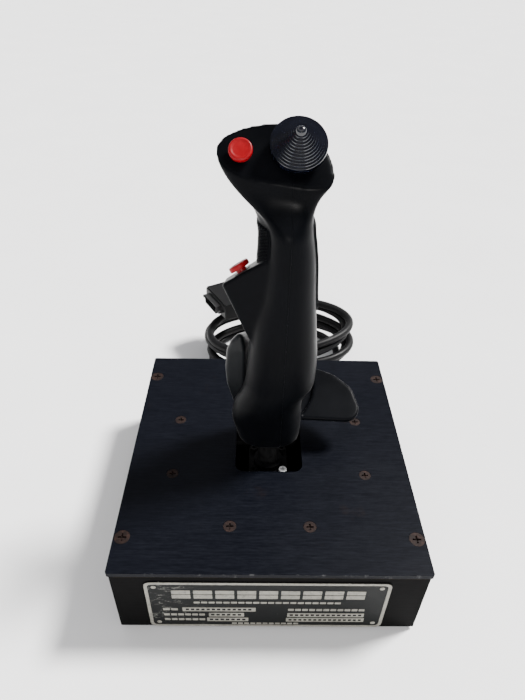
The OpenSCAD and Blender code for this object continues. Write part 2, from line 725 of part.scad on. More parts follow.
// Saddle that holds the cord inside, under the two rear screws.
module cable_clamp() color(WHITE) difference() {
    translate([-29, 56, under_z - 9.05]) cube([58, 12, 9]);
    for (sx = [-1, 1]) translate([sx * deck_at[0], deck_at[1], under_z - 12]) cylinder(r = 1.75, h = 14);
    translate([-18, 50, under_z - 12]) cube([36, 24, 8]);
}

HARNESS = [[0, 0, gimbal_z - 11], [0, -1, gimbal_z - 18], [-2, -10, 12], [-5, -26, 8.5], [-8, -42, 9],
    [-10, -53, 15], [-11, -60, 26], [-11, -63, 38], [-11, -64, board_z - 0.2]];

module wire_harness() color(BLACK) sweep(smooth_path(HARNESS, 3), 2, 8, [1, 0, 0]);

// --- Cord: gland, lead, coil and connector ---
gland_x = 58;
gland_z = foot_h + 11.5;
gland_r = 6.5;
cord_r = cord_d / 2;
coil_mid = [12.5, 174];
coil_out = [71, 49];
coil_in = [47, 27];
coil_h = 43.2;

module cable_gland() color(BLACK) translate([gland_x, board_y - board_t - 2, gland_z]) along_y()
    difference() {
        union() {
            cylinder(r = gland_r - 0.05, h = board_t + 3);
            cylinder(r = gland_r + 1, h = 1.9);
            translate([0, 0, board_t + 2.1]) cylinder(r = gland_r + 1.5, h = 2);
        }
        translate([0, 0, -1]) cylinder(r = cord_r + 0.02, h = 60);
    }

// Tapered sleeve moulded on the cord where it leaves the gland.
module strain_relief() color(BLACK) translate([gland_x, board_y + 2.12, gland_z]) along_y()
    difference() {
        cylinder(r1 = gland_r - 0.8, r2 = cord_r + 0.9, h = 20.3);
        translate([0, 0, -1]) cylinder(r = cord_r + 0.02, h = 60);
    }

// The lead: out of the gland, down to the surface and into the lowest turn of the coil.
LEAD = [[58, 80, 13.5], [58, 97, 13.5], [58, 113.6, 13.5], [58, 120, 13.4], [58.4, 128, 11.9],
    [59.8, 136, 8.8], [62.2, 144, 5.6]];

module cord_lead() color(BLACK) sweep(smooth_path(LEAD, 3), cord_r, 10, [0, 0, 1]);

function oval(axes, sides) =
    [for (k = [0 : sides - 1]) [axes[0] * cos(360 * k / sides), axes[1] * sin(360 * k / sides)]];

module cord_coil() color(BLACK) translate([coil_mid[0], coil_mid[1], 0]) linear_extrude(height = coil_h)
    difference() {
        polygon(oval(coil_out, 56));
        polygon(oval(coil_in, 56));
    }

// The tail: off the top turn at the back and into the connector.
TAIL = [[20, 216, 42.9], [10, 215.8, 45.3], [0, 213.8, 47.9], [-9, 210.4, 49.9], [-17, 206, 50.8]];

module cord_tail() color(BLACK) sweep(smooth_path(TAIL, 2), cord_r, 10, [0, 0, 1]);

// The fifteen-way connector lies on the coil, its cord side to the right. Its own y axis is its length.
module on_connector() translate([-17, 206, 50.8]) rotate([0, 0, 120]) children();

module connector_hood() color(BLACK) on_connector() difference() {
    union() {
        translate([-19.5, 14, -7.5]) cube([39, 20, 15]);
        linear_extrude(height = 13, center = true) polygon([[-8, 0], [8, 0], [19, 14.5], [-19, 14.5]]);
    }
    for (sx = [-1, 1]) translate([sx * 16, 10, 0]) along_y() cylinder(r = 1.65, h = 30);
}

module connector_shell() color(STEEL) on_connector() difference() {
    union() {
        translate([-19.6, 34.05, -6.2]) cube([39.2, 1, 12.4]);
        translate([0, 34, 0]) along_y() linear_extrude(height = 6.5)
            polygon([[-12.4, -4.1], [12.4, -4.1], [11, 4.1], [-11, 4.1]]);
    }
    translate([0, 36, 0]) along_y() linear_extrude(height = 6)
        polygon([[-11.9, -3.6], [11.9, -3.6], [10.5, 3.6], [-10.5, 3.6]]);
    for (sx = [-1, 1]) translate([sx * 16, 30, 0]) along_y() cylinder(r = 1.65, h = 8);
}

module connector_screws() color(STEEL) on_connector() for (sx = [-1, 1]) translate([sx * 16, 15, 0])
    along_y() cylinder(r = 1.5, h = 25);

top_plate();
front_board();
rear_board();
left_board();
right_board();
bottom_plate();
corner_blocks();
rubber_feet();
corner_screws();
bracket_screws();
deck_screws();
bottom_screws();
nameplate();
nameplate_rivets();
left_bracket();
right_bracket();
bearing_bush();
pitch_pot();
pitch_spring();
circuit_board();
board_parts();
board_standoffs();
cable_clamp();
wire_harness();
cable_gland();
strain_relief();
cord_lead();
cord_coil();
cord_tail();
connector_hood();
connector_shell();
connector_screws();
gimbal_ring();
pitch_pins();
roll_pot();
roll_spring();
pivot_block();
roll_pins();
roll_arm();
stick_flange();
flange_screws();
stick_tube();
left_grip_shell();
right_grip_shell();
grip_screws();
grip_pin();
hat_switch();
thumb_switch();
side_switch();
trigger_switch();
pinky_switch();
trigger_pin();
trigger_spring();
pinky_pin();
hat_cross();
hat_cap();
thumb_button();
side_button();
trigger();
pinky_lever();
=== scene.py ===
import json
import math

import bmesh
import bpy
import numpy as np
from mathutils import Matrix, Vector
from mathutils.bvhtree import BVHTree


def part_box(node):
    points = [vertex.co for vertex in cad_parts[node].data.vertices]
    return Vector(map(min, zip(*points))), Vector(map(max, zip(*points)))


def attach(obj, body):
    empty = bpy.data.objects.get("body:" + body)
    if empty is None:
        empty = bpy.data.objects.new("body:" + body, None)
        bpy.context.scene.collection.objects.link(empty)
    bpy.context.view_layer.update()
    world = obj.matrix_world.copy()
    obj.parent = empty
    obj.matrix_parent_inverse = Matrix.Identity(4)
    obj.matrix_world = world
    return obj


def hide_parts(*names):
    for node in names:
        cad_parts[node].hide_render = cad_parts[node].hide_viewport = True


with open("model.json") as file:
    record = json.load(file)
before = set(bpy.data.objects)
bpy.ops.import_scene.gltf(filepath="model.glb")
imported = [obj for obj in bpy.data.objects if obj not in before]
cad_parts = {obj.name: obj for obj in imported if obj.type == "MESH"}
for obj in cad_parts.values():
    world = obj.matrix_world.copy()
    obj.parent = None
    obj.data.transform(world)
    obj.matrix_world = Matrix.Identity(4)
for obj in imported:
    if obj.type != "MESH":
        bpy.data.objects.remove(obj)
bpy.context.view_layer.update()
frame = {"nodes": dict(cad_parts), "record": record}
MM = 0.001
SLOT_OF = {row["node"]: row["material_slot"] for row in frame["record"]["subparts"]}
BODY_OF = {node: body for body, nodes in frame["record"]["behaviour"]["bodies"].items() for node in nodes}


# --- Camera ---
CAMERA_AT = (-0.0112, -0.2531, 0.3387)
CAMERA_DOWN, CAMERA_RIGHT, CAMERA_ROLL = (math.radians(a) for a in (37.871, 1.236, 1.563))
CAMERA_LENS = 28.54


def add_camera():
    pitch, yaw, roll = CAMERA_DOWN, CAMERA_RIGHT, CAMERA_ROLL
    ahead = Vector((math.sin(yaw) * math.cos(pitch), math.cos(yaw) * math.cos(pitch), -math.sin(pitch)))
    level = Vector((math.cos(yaw), -math.sin(yaw), 0))
    over = level.cross(ahead)
    right = level * math.cos(roll) + over * math.sin(roll)
    up = over * math.cos(roll) - level * math.sin(roll)
    cam = bpy.data.objects.new("camera", bpy.data.cameras.new("camera"))
    bpy.context.scene.collection.objects.link(cam)
    cam.data.sensor_width = 36
    cam.data.lens = CAMERA_LENS
    cam.data.clip_start = 0.01
    m = Matrix((right, up, -ahead)).transposed().to_4x4()
    m.translation = CAMERA_AT
    cam.matrix_world = m
    bpy.context.scene.camera = cam


# --- Mesh helpers ---
def new_object(name, points, faces):
    me = bpy.data.meshes.new(name)
    me.from_pydata([tuple(p) for p in points], [], [tuple(f) for f in faces])
    me.validate()
    o = bpy.data.objects.new(name, me)
    bpy.context.scene.collection.objects.link(o)
    return o


def apply_modifiers(o):
    dg = bpy.context.evaluated_depsgraph_get()
    me = bpy.data.meshes.new_from_object(o.evaluated_get(dg), depsgraph=dg)
    old = o.data
    o.modifiers.clear()
    o.data = me
    bpy.data.meshes.remove(old)
    return o


def remove(o):
    me = o.data
    bpy.data.objects.remove(o)
    bpy.data.meshes.remove(me)


def copy_of(o, name):
    """A new object with its own copy of a mesh."""
    copy = bpy.data.objects.new(name, o.data.copy())
    bpy.context.scene.collection.objects.link(copy)
    return copy


def boolean(o, cutter, operation="DIFFERENCE"):
    mod = o.modifiers.new("boolean", "BOOLEAN")
    mod.operation, mod.object, mod.solver = operation, cutter, "MANIFOLD"
    apply_modifiers(o)
    remove(cutter)
    return o


def shade(o, angle=35):
    me = o.data
    me.polygons.foreach_set("use_smooth", [True] * len(me.polygons))
    me.set_sharp_from_angle(angle=math.radians(angle))


def piece(o, body, mat, nodes=(), angle=35):
    """Gives a new piece its shading, material and body, and hides the CAD nodes that it stands for."""
    shade(o, angle)
    o.data.materials.clear()
    o.data.materials.append(mat)
    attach(o, body)
    if nodes:
        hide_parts(*nodes)
    return o


def finish_of(node):
    return BY_NODE.get(node, BY_SLOT[SLOT_OF[node]])


def stand_for(o, *nodes, angle=35):
    """Makes a new piece stand for CAD nodes, on their body and in their finish."""
    return piece(o, BODY_OF[nodes[0]], finish_of(nodes[0]), nodes, angle)


def refined(node, width=0.3, segments=2, angle=30):
    """A copy of a CAD node's mesh with its hard edges rounded over."""
    o = bpy.data.objects.new(node + "_fine", frame["nodes"][node].data.copy())
    bpy.context.scene.collection.objects.link(o)
    bm = bmesh.new()
    bm.from_mesh(o.data)
    bmesh.ops.remove_doubles(bm, verts=bm.verts, dist=1e-6)
    bmesh.ops.dissolve_limit(bm, angle_limit=math.radians(1.5), verts=bm.verts, edges=bm.edges)
    bm.to_mesh(o.data)
    bm.free()
    mod = o.modifiers.new("bevel", "BEVEL")
    mod.width, mod.segments, mod.limit_method = width * MM, segments, "ANGLE"
    mod.angle_limit, mod.use_clamp_overlap = math.radians(angle), True
    apply_modifiers(o)
    shade(o, 50)
    mod = o.modifiers.new("weight", "WEIGHTED_NORMAL")
    mod.keep_sharp = True
    apply_modifiers(o)
    return stand_for(o, node, angle=50)


def hull_of(name, points):
    bm = bmesh.new()
    for p in points:
        bm.verts.new(p)
    found = bmesh.ops.convex_hull(bm, input=bm.verts)
    loose = {e for e in found["geom_interior"] + found["geom_unused"] if isinstance(e, bmesh.types.BMVert)}
    bmesh.ops.delete(bm, geom=list(loose), context="VERTS")
    bmesh.ops.recalc_face_normals(bm, faces=bm.faces)
    me = bpy.data.meshes.new(name)
    bm.to_mesh(me)
    bm.free()
    o = bpy.data.objects.new(name, me)
    bpy.context.scene.collection.objects.link(o)
    return o


def ball(centre, r, rows=9, sides=18):
    out = [Vector(centre) + Vector((0, 0, r)), Vector(centre) - Vector((0, 0, r))]
    for i in range(1, rows):
        a = math.pi * i / rows
        for k in range(sides):
            b = 2 * math.pi * k / sides
            way = Vector((math.sin(a) * math.cos(b), math.sin(a) * math.sin(b), math.cos(a)))
            out.append(Vector(centre) + r * way)
    return out


def lathe(name, profile, place, sides=96):
    """Turns a profile of (radius, height) about the z axis of place. Its ends lie on the axis."""
    points, faces = [], []
    ring = [2 * math.pi * k / sides for k in range(sides)]
    for r, z in profile:
        if r < 1e-6:
            points.append(place @ Vector((0, 0, z)))
        else:
            points += [place @ Vector((r * math.cos(a), r * math.sin(a), z)) for a in ring]
    start = 0
    for (r, z), (r2, z2) in zip(profile, profile[1:]):
        n = 1 if r < 1e-6 else sides
        n2 = 1 if r2 < 1e-6 else sides
        a, b = start, start + n
        for k in range(sides):
            j = (k + 1) % sides
            if n == 1:
                faces.append((a, b + k, b + j))
            elif n2 == 1:
                faces.append((a + j, a + k, b))
            else:
                faces.append((a + k, b + k, b + j, a + j))
        start += n
    o = new_object(name, points, faces)
    bm = bmesh.new()
    bm.from_mesh(o.data)
    bmesh.ops.recalc_face_normals(bm, faces=bm.faces)
    bm.to_mesh(o.data)
    bm.free()
    return o


def cylinder(name, place, r, low, high, sides=48):
    return lathe(name, [(0, low), (r, low), (r, high), (0, high)], place, sides)


def block(name, lo, hi):
    return hull_of(name, [(x, y, z) for x in (lo[0], hi[0]) for y in (lo[1], hi[1]) for z in (lo[2], hi[2])])


def loops(rows, n):
    """Quads between rows of n points, each row closing on itself, with a cap at either end."""
    faces = [(i * n + k, i * n + (k + 1) % n, (i + 1) * n + (k + 1) % n, (i + 1) * n + k)
             for i in range(rows - 1) for k in range(n)]
    return faces + [tuple(range(n - 1, -1, -1)), tuple((rows - 1) * n + k for k in range(n))]


def rounded(w, h, r, per=8):
    """A rectangle's outline with rounded corners, about its middle."""
    return [((w / 2 - r) * sx + r * math.cos(a), (h / 2 - r) * sy + r * math.sin(a))
            for sx, sy, a0 in ((1, 1, 0), (-1, 1, 90), (-1, -1, 180), (1, -1, 270))
            for a in np.radians(np.linspace(a0, a0 + 90, per))]


def pad(name, outline, rings, place):
    """A closed slab: its anticlockwise outline, drawn in by each ring's inset at that ring's height."""
    p = np.array(outline, float)
    t = np.roll(p, -1, 0) - np.roll(p, 1, 0)
    t /= np.linalg.norm(t, axis=1)[:, None]
    inward = np.c_[-t[:, 1], t[:, 0]]
    points = [place @ Vector((*(p + inset * inward)[k], z)) for inset, z in rings for k in range(len(p))]
    return new_object(name, points, loops(len(rings), len(p)))


def joined(name, pieces):
    """One object made of separate closed pieces."""
    bm = bmesh.new()
    for o in pieces:
        bm.from_mesh(o.data)
        remove(o)
    me = bpy.data.meshes.new(name)
    bm.to_mesh(me)
    bm.free()
    o = bpy.data.objects.new(name, me)
    bpy.context.scene.collection.objects.link(o)
    return o


def smooth_curve(points, per):
    """A Catmull-Rom curve through the points."""
    p = np.array(points, float)
    out = []
    for i in range(len(p) - 1):
        a, b, c, d = p[max(i - 1, 0)], p[i], p[i + 1], p[min(i + 2, len(p) - 1)]
        for t in np.arange(per) / per:
            out.append(0.5 * (2 * b + (c - a) * t + (2 * a - 5 * b + 4 * c - d) * t**2
                              + (3 * b - a - 3 * c + d) * t**3))
    out.append(p[-1])
    return np.array(out)


def evenly(points, step):
    s = np.r_[0, np.cumsum(np.linalg.norm(np.diff(points, axis=0), axis=1))]
    at = np.linspace(0, s[-1], int(round(s[-1] / step)) + 1)
    return np.array([np.interp(at, s, points[:, i]) for i in range(3)]).T


def tube(name, path, r, sides=16):
    """A closed round tube along a path, its frame carried along without twist."""
    p = np.array(path, float)
    t = np.gradient(p, axis=0)
    t /= np.linalg.norm(t, axis=1)[:, None]
    u = np.cross(t[0], (0, 0, 1.0))
    u /= np.linalg.norm(u)
    points = []
    for i in range(len(p)):
        u = u - (u @ t[i]) * t[i]
        u /= np.linalg.norm(u)
        v = np.cross(t[i], u)
        for k in range(sides):
            a = 2 * math.pi * k / sides
            points.append(p[i] + r * (math.cos(a) * u + math.sin(a) * v))
    return new_object(name, points, loops(len(p), sides))


# --- Materials ---
class Paint:
    """A Principled material with helpers for its nodes. Textures lie in the row frame's own metres."""

    def __init__(self, name, rough=0.5, metallic=0.0, **sockets):
        self.mat = bpy.data.materials.new(name)
        self.mat.use_nodes = True
        self.tree = self.mat.node_tree
        self.bsdf = self.tree.nodes["Principled BSDF"]
        self.bsdf.inputs["Roughness"].default_value = rough
        self.bsdf.inputs["Metallic"].default_value = metallic
        for key, value in sockets.items():
            self.bsdf.inputs[key.replace("_", " ")].default_value = value
        self.coord = self.tree.nodes.new("ShaderNodeTexCoord").outputs["Object"]

    def link(self, a, b):
        self.tree.links.new(a, b)

    def stretched(self, scale):
        n = self.tree.nodes.new("ShaderNodeMapping")
        n.inputs["Scale"].default_value = scale
        self.link(self.coord, n.inputs["Vector"])
        return n.outputs["Vector"]

    def noise(self, scale, detail=4.0, rough=0.55, vector=None, distortion=0.0):
        n = self.tree.nodes.new("ShaderNodeTexNoise")
        n.inputs["Scale"].default_value = scale
        n.inputs["Detail"].default_value = detail
        n.inputs["Roughness"].default_value = rough
        n.inputs["Distortion"].default_value = distortion
        self.link(vector or self.coord, n.inputs["Vector"])
        return n.outputs["Fac"]

    def cells(self, scale, vector=None, feature="F1"):
        n = self.tree.nodes.new("ShaderNodeTexVoronoi")
        n.feature = feature
        n.inputs["Scale"].default_value = scale
        self.link(vector or self.coord, n.inputs["Vector"])
        return n.outputs["Distance"]

    def ramp(self, value, *stops):
        n = self.tree.nodes.new("ShaderNodeValToRGB")
        e = n.color_ramp.elements
        while len(e) < len(stops):
            e.new(0.5)
        for slot, (at, colour) in zip(e, stops):
            slot.position = at
            slot.color = (colour, colour, colour, 1) if isinstance(colour, (int, float)) else (*colour, 1)
        self.link(value, n.inputs["Fac"])
        return n.outputs["Color"]

    def map(self, value, low, high, to_low, to_high):
        n = self.tree.nodes.new("ShaderNodeMapRange")
        for key, v in (("From Min", low), ("From Max", high), ("To Min", to_low), ("To Max", to_high)):
            n.inputs[key].default_value = v
        self.link(value, n.inputs["Value"])
        return n.outputs["Result"]

    def mix(self, share, a, b):
        """Two colours or colour sockets, mixed by a value."""
        n = self.tree.nodes.new("ShaderNodeMix")
        n.data_type = "RGBA"
        self.link(share, n.inputs["Factor"])
        for socket, c in ((n.inputs[6], a), (n.inputs[7], b)):
            if isinstance(c, (tuple, list)):
                socket.default_value = (*c, 1)
            else:
                self.link(c, socket)
        return n.outputs[2]

    def maths(self, operation, a, b=None):
        n = self.tree.nodes.new("ShaderNodeMath")
        n.operation = operation
        for socket, v in zip(n.inputs, (a, b)):
            if isinstance(v, (int, float)):
                socket.default_value = v
            elif v is not None:
                self.link(v, socket)
        return n.outputs[0]

    def clouded(self, value, low, high, dark, light):
        """One colour passing into another as a noise goes from low to high."""
        return self.mix(self.ramp(value, (low, 0.0), (high, 1.0)), dark, light)

    def axis(self, index):
        n = self.tree.nodes.new("ShaderNodeSeparateXYZ")
        self.link(self.coord, n.inputs[0])
        return n.outputs[index]

    def edges(self, low, high):
        """1 along convex edges, broken up a little, as wear is."""
        pointed = self.tree.nodes.new("ShaderNodeNewGeometry").outputs["Pointiness"]
        sharp = self.map(pointed, low, high, 0.0, 1.0)
        return self.maths("MULTIPLY", sharp, self.ramp(self.noise(260, 5, 0.7), (0.35, 0.2), (0.65, 1.0)))

    def bump(self, height, distance, strength=1.0, under=None):
        n = self.tree.nodes.new("ShaderNodeBump")
        n.inputs["Distance"].default_value = distance * MM
        n.inputs["Strength"].default_value = strength
        self.link(height, n.inputs["Height"])
        if under is not None:
            self.link(under, n.inputs["Normal"])
        return n.outputs["Normal"]

    def finish(self, colour=None, rough=None, normal=None, metallic=None):
        keys = ("Base Color", "Roughness", "Normal", "Metallic")
        for value, key in zip((colour, rough, normal, metallic), keys):
            if value is not None:
                self.link(value, self.bsdf.inputs[key])
        return self.mat


def moulded(name, dark, light, rough, grain=1500, depth=0.02, level=0.5, wear=0.12, haze=0.0):
    """Moulded plastic: fine spark-eroded grain, handled patches that shine, dust, and paler edges."""
    p = Paint(name, Specular_IOR_Level=level, Sheen_Weight=haze, Sheen_Roughness=0.3)
    patches = p.noise(28, 3)
    fine = p.noise(grain, 2)
    specks = p.ramp(p.noise(420, 5, 0.7), (0.66, 0.0), (0.74, 1.0))
    colour = p.clouded(patches, 0.3, 0.75, dark, light)
    pale = tuple(0.03 + 2.5 * c for c in light)
    colour = p.mix(p.maths("MULTIPLY", specks, 0.04), colour, pale)
    if wear:
        colour = p.mix(p.maths("MULTIPLY", p.edges(0.53, 0.60), wear), colour, pale)
    worn = p.map(patches, 0.3, 0.7, rough - 0.07, rough + 0.07)
    roughness = p.maths("ADD", worn, p.map(fine, 0.3, 0.7, -0.03, 0.03))
    return p.finish(colour, roughness, p.bump(fine, depth, 0.6))


def metal(name, colour, rough, grain=900):
    """Bare or plated metal: fine drawn grain with slightly duller, tinted patches."""
    p = Paint(name, metallic=1.0)
    grainy = p.noise(grain, 3)
    patches = p.noise(60, 5, 0.65)
    dull = tuple(0.75 * c for c in colour)
    c = p.mix(p.ramp(patches, (0.35, 0.0), (0.7, 1.0)), colour, dull)
    handled = p.map(patches, 0.3, 0.7, rough - 0.06, rough + 0.1)
    r = p.maths("ADD", handled, p.map(grainy, 0.3, 0.7, -0.05, 0.05))
    return p.finish(c, r, p.bump(grainy, 0.01, 0.5))


def brushed_black():
    """Satin black paint over brushed sheet, the brush marks running across the base."""
    p = Paint("black_paint", Specular_IOR_Level=0.042)
    long_marks = p.noise(60, 6, 0.7, p.stretched((1.2, 26, 26)))
    short_marks = p.noise(150, 5, 0.75, p.stretched((1.5, 14, 14)))
    marks = p.maths("ADD", p.maths("MULTIPLY", long_marks, 0.55), p.maths("MULTIPLY", short_marks, 0.45))
    cloud = p.noise(14, 4, 0.6)
    colour = p.clouded(marks, 0.44, 0.68, (0.0014, 0.0018, 0.0034), (0.0056, 0.0064, 0.0098))
    rub = p.ramp(p.noise(300, 7, 0.8, p.stretched((1, 3, 1))), (0.70, 0.0), (0.78, 1.0))
    colour = p.mix(p.maths("MULTIPLY", rub, 0.3), colour, (0.05, 0.05, 0.055))
    brown = p.ramp(p.noise(34, 5, 0.7), (0.62, 0.0), (0.78, 1.0))
    colour = p.mix(p.maths("MULTIPLY", brown, 0.35), colour, (0.012, 0.007, 0.005))
    half_x, half_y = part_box("top_plate")[1].x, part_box("top_plate")[1].y
    rim_x, rim_y = (p.map(p.maths("ABSOLUTE", p.axis(i)), half - 0.0006, half - 0.0001, 0.0, 1.0)
                    for i, half in enumerate((half_x, half_y)))
    chips = p.ramp(p.noise(120, 7, 0.75), (0.56, 0.0), (0.64, 1.0))
    rim = p.maths("MULTIPLY", p.maths("MAXIMUM", rim_x, rim_y), chips)
    colour = p.mix(p.maths("MULTIPLY", rim, 0.5), colour, (0.07, 0.07, 0.072))
    rough = p.maths("ADD", p.map(cloud, 0.3, 0.7, 0.34, 0.46), p.map(marks, 0.4, 0.7, -0.06, 0.14))
    return p.finish(colour, rough, p.bump(marks, 0.06, 0.5))


def painted_board():
    """Black paint brushed over sawn board, its grain showing and its top arris worn to brown."""
    p = Paint("black_board", Specular_IOR_Level=0.012)
    grain = p.noise(70, 6, 0.65, p.stretched((1, 1, 9)))
    pores = p.noise(900, 3, 0.6, p.stretched((0.25, 0.25, 1)))
    colour = p.clouded(grain, 0.35, 0.72, (0.0018, 0.0018, 0.0018), (0.0048, 0.0047, 0.0048))
    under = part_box("top_plate")[0].z
    edge = p.map(p.axis(2), under - 0.0026, under - 0.0004, 0.0, 1.0)
    worn = p.maths("MULTIPLY", edge, p.ramp(p.noise(160, 5, 0.7), (0.40, 0.0), (0.60, 1.0)))
    colour = p.mix(p.maths("MULTIPLY", worn, 0.7), colour, (0.036, 0.025, 0.014))
    chips = p.ramp(p.noise(240, 6, 0.75), (0.70, 0.0), (0.75, 1.0))
    colour = p.mix(p.maths("MULTIPLY", chips, 0.4), colour, (0.05, 0.045, 0.04))
    rough = p.map(grain, 0.3, 0.7, 0.42, 0.6)
    normal = p.bump(pores, 0.05, 0.5, under=p.bump(grain, 0.12, 0.5))
    return p.finish(colour, rough, normal)


def rusty():
    p = Paint("rust_screw", metallic=0.1, Specular_IOR_Level=0.12)
    blooms = p.noise(330, 6, 0.7)
    fine = p.noise(1700, 4, 0.7)
    colour = p.ramp(blooms, (0.30, (0.0030, 0.0019, 0.0019)), (0.52, (0.0105, 0.0054, 0.0044)),
                    (0.74, (0.030, 0.0155, 0.0120)))
    rough = p.map(fine, 0.3, 0.7, 0.48, 0.76)
    return p.finish(colour, rough, p.bump(p.maths("ADD", blooms, fine), 0.05, 0.7))


def glossy_red():
    p = Paint("red_button", Specular_IOR_Level=0.12)
    cloud = p.noise(240, 3)
    scuffs = p.ramp(p.noise(900, 6, 0.75, p.stretched((1, 4, 1))), (0.64, 0.0), (0.72, 1.0))
    colour = p.clouded(cloud, 0.3, 0.7, (0.165, 0.0010, 0.0036), (0.200, 0.0014, 0.0048))
    colour = p.mix(p.maths("MULTIPLY", scuffs, 0.12), colour, (0.26, 0.03, 0.034))
    rough = p.map(cloud, 0.3, 0.7, 0.30, 0.42)
    return p.finish(colour, rough, p.bump(p.noise(1300, 2), 0.015, 0.4))


def hat_gloss():
    p = Paint("hat_black", Specular_IOR_Level=0.6)
    cloud = p.noise(150, 3)
    colour = p.clouded(cloud, 0.3, 0.7, (0.0012, 0.0016, 0.0040), (0.0022, 0.0029, 0.0066))
    dust = p.ramp(p.noise(1100, 5, 0.7), (0.66, 0.0), (0.74, 1.0))
    colour = p.mix(p.maths("MULTIPLY", dust, 0.05), colour, (0.07, 0.075, 0.09))
    rough = p.map(cloud, 0.3, 0.7, 0.09, 0.13)
    return p.finish(colour, rough, p.bump(p.noise(1400, 2), 0.012, 0.4))


def plate_field():
    """Screen-printed black on sheet metal, scratched and dusty."""
    p = Paint("plate_black", metallic=0.1, Specular_IOR_Level=0.06)
    cloud = p.noise(45, 5, 0.65)
    colour = p.clouded(cloud, 0.3, 0.7, (0.0026, 0.0030, 0.0031), (0.0060, 0.0068, 0.0070))
    scratches = p.ramp(p.noise(210, 7, 0.8, p.stretched((6, 1, 0.7)), 0.6), (0.665, 0.0), (0.70, 1.0))
    colour = p.mix(p.maths("MULTIPLY", scratches, 0.5), colour, (0.16, 0.16, 0.15))
    left = p.map(p.axis(0), -0.070, -0.030, 1.0, 0.0)
    scuffs = p.ramp(p.noise(130, 6, 0.75, p.stretched((1, 1, 2.4)), 1.2), (0.56, 0.0), (0.62, 1.0))
    colour = p.mix(p.maths("MULTIPLY", p.maths("MULTIPLY", scuffs, left), 0.6), colour, (0.22, 0.22, 0.20))
    rough = p.map(cloud, 0.3, 0.7, 0.38, 0.54)
    return p.finish(colour, rough, p.bump(p.noise(1200, 3), 0.02, 0.5))


def plate_print():
    """The pale print and its border, rubbed thin in places."""
    p = Paint("plate_print", metallic=0.1, Specular_IOR_Level=0.4)
    rubbed = p.ramp(p.noise(520, 7, 0.78), (0.50, 0.0), (0.66, 1.0))
    cloud = p.noise(90, 4)
    colour = p.clouded(cloud, 0.3, 0.7, (0.165, 0.158, 0.132), (0.245, 0.237, 0.204))
    colour = p.mix(p.maths("MULTIPLY", rubbed, 0.62), colour, (0.030, 0.030, 0.028))
    return p.finish(colour, p.map(cloud, 0.3, 0.7, 0.38, 0.55), p.bump(p.noise(1300, 3), 0.02, 0.5))


def blackened():
    """Oil-blacked steel, rubbed to bright metal in small places."""
    p = Paint("black_oxide", Specular_IOR_Level=0.05)
    cloud = p.noise(120, 5, 0.65)
    colour = p.clouded(cloud, 0.3, 0.75, (0.0020, 0.0020, 0.0022), (0.0050, 0.0050, 0.0055))
    colour = p.mix(p.maths("MULTIPLY", p.edges(0.54, 0.62), 0.3), colour, (0.04, 0.04, 0.04))
    return p.finish(colour, p.map(cloud, 0.3, 0.7, 0.42, 0.58), p.bump(p.noise(1100, 3), 0.02, 0.5))


def painted_glint_screws():
    """Flange screws, dark, with the one at the front right painted as bright steel: a painted highlight where
    light falls into the opening.
    """
    p = Paint("flange_screw_painted_glint", Specular_IOR_Level=0.05)
    cloud = p.noise(300, 4)
    at_right = p.map(p.axis(0), 0.004, 0.005, 0.0, 1.0)
    at_front = p.map(p.axis(1), -0.005, -0.004, 1.0, 0.0)
    # Painted highlight: bright metal on the front-right screw only, picked by its place.
    bright = p.maths("MULTIPLY", at_right, at_front)
    colour = p.mix(bright, (0.003, 0.003, 0.003), p.mix(cloud, (0.45, 0.45, 0.46), (0.60, 0.60, 0.61)))
    normal = p.bump(p.noise(1300, 3), 0.015, 0.5)
    return p.finish(colour, p.map(cloud, 0.3, 0.7, 0.30, 0.44), normal, p.maths("MULTIPLY", bright, 0.9))


def cord_jacket():
    p = Paint("cord_rubber", Specular_IOR_Level=0.12)
    fine = p.noise(1300, 3)
    cloud = p.noise(55, 4)
    colour = p.clouded(cloud, 0.3, 0.7, (0.0028, 0.0028, 0.0031), (0.0056, 0.0056, 0.0062))
    dust = p.ramp(p.noise(520, 6, 0.75), (0.60, 0.0), (0.74, 1.0))
    colour = p.mix(p.maths("MULTIPLY", dust, 0.2), colour, (0.055, 0.055, 0.050))
    return p.finish(colour, p.map(cloud, 0.3, 0.7, 0.40, 0.54), p.bump(fine, 0.03, 0.5))


def sawn_wood():
    p = Paint("wood")
    rings = p.noise(90, 5, 0.6, p.stretched((1, 1, 0.08)), 0.8)
    colour = p.ramp(rings, (0.3, (0.30, 0.17, 0.085)), (0.55, (0.45, 0.28, 0.15)),
                    (0.75, (0.52, 0.35, 0.20)))
    return p.finish(colour, p.map(rings, 0.3, 0.7, 0.6, 0.8), p.bump(rings, 0.2, 0.5))


def laminate():
    p = Paint("green_board", Coat_Weight=0.4, Coat_Roughness=0.2)
    weave = p.cells(900)
    tracks = p.ramp(p.cells(180, p.stretched((1, 0.35, 1)), "DISTANCE_TO_EDGE"), (0.03, 1.0), (0.06, 0.0))
    colour = p.mix(p.maths("MULTIPLY", tracks, 0.7), (0.010, 0.070, 0.030), (0.035, 0.150, 0.060))
    return p.finish(colour, p.map(p.noise(80, 3), 0.3, 0.7, 0.3, 0.45), p.bump(weave, 0.02, 0.4))


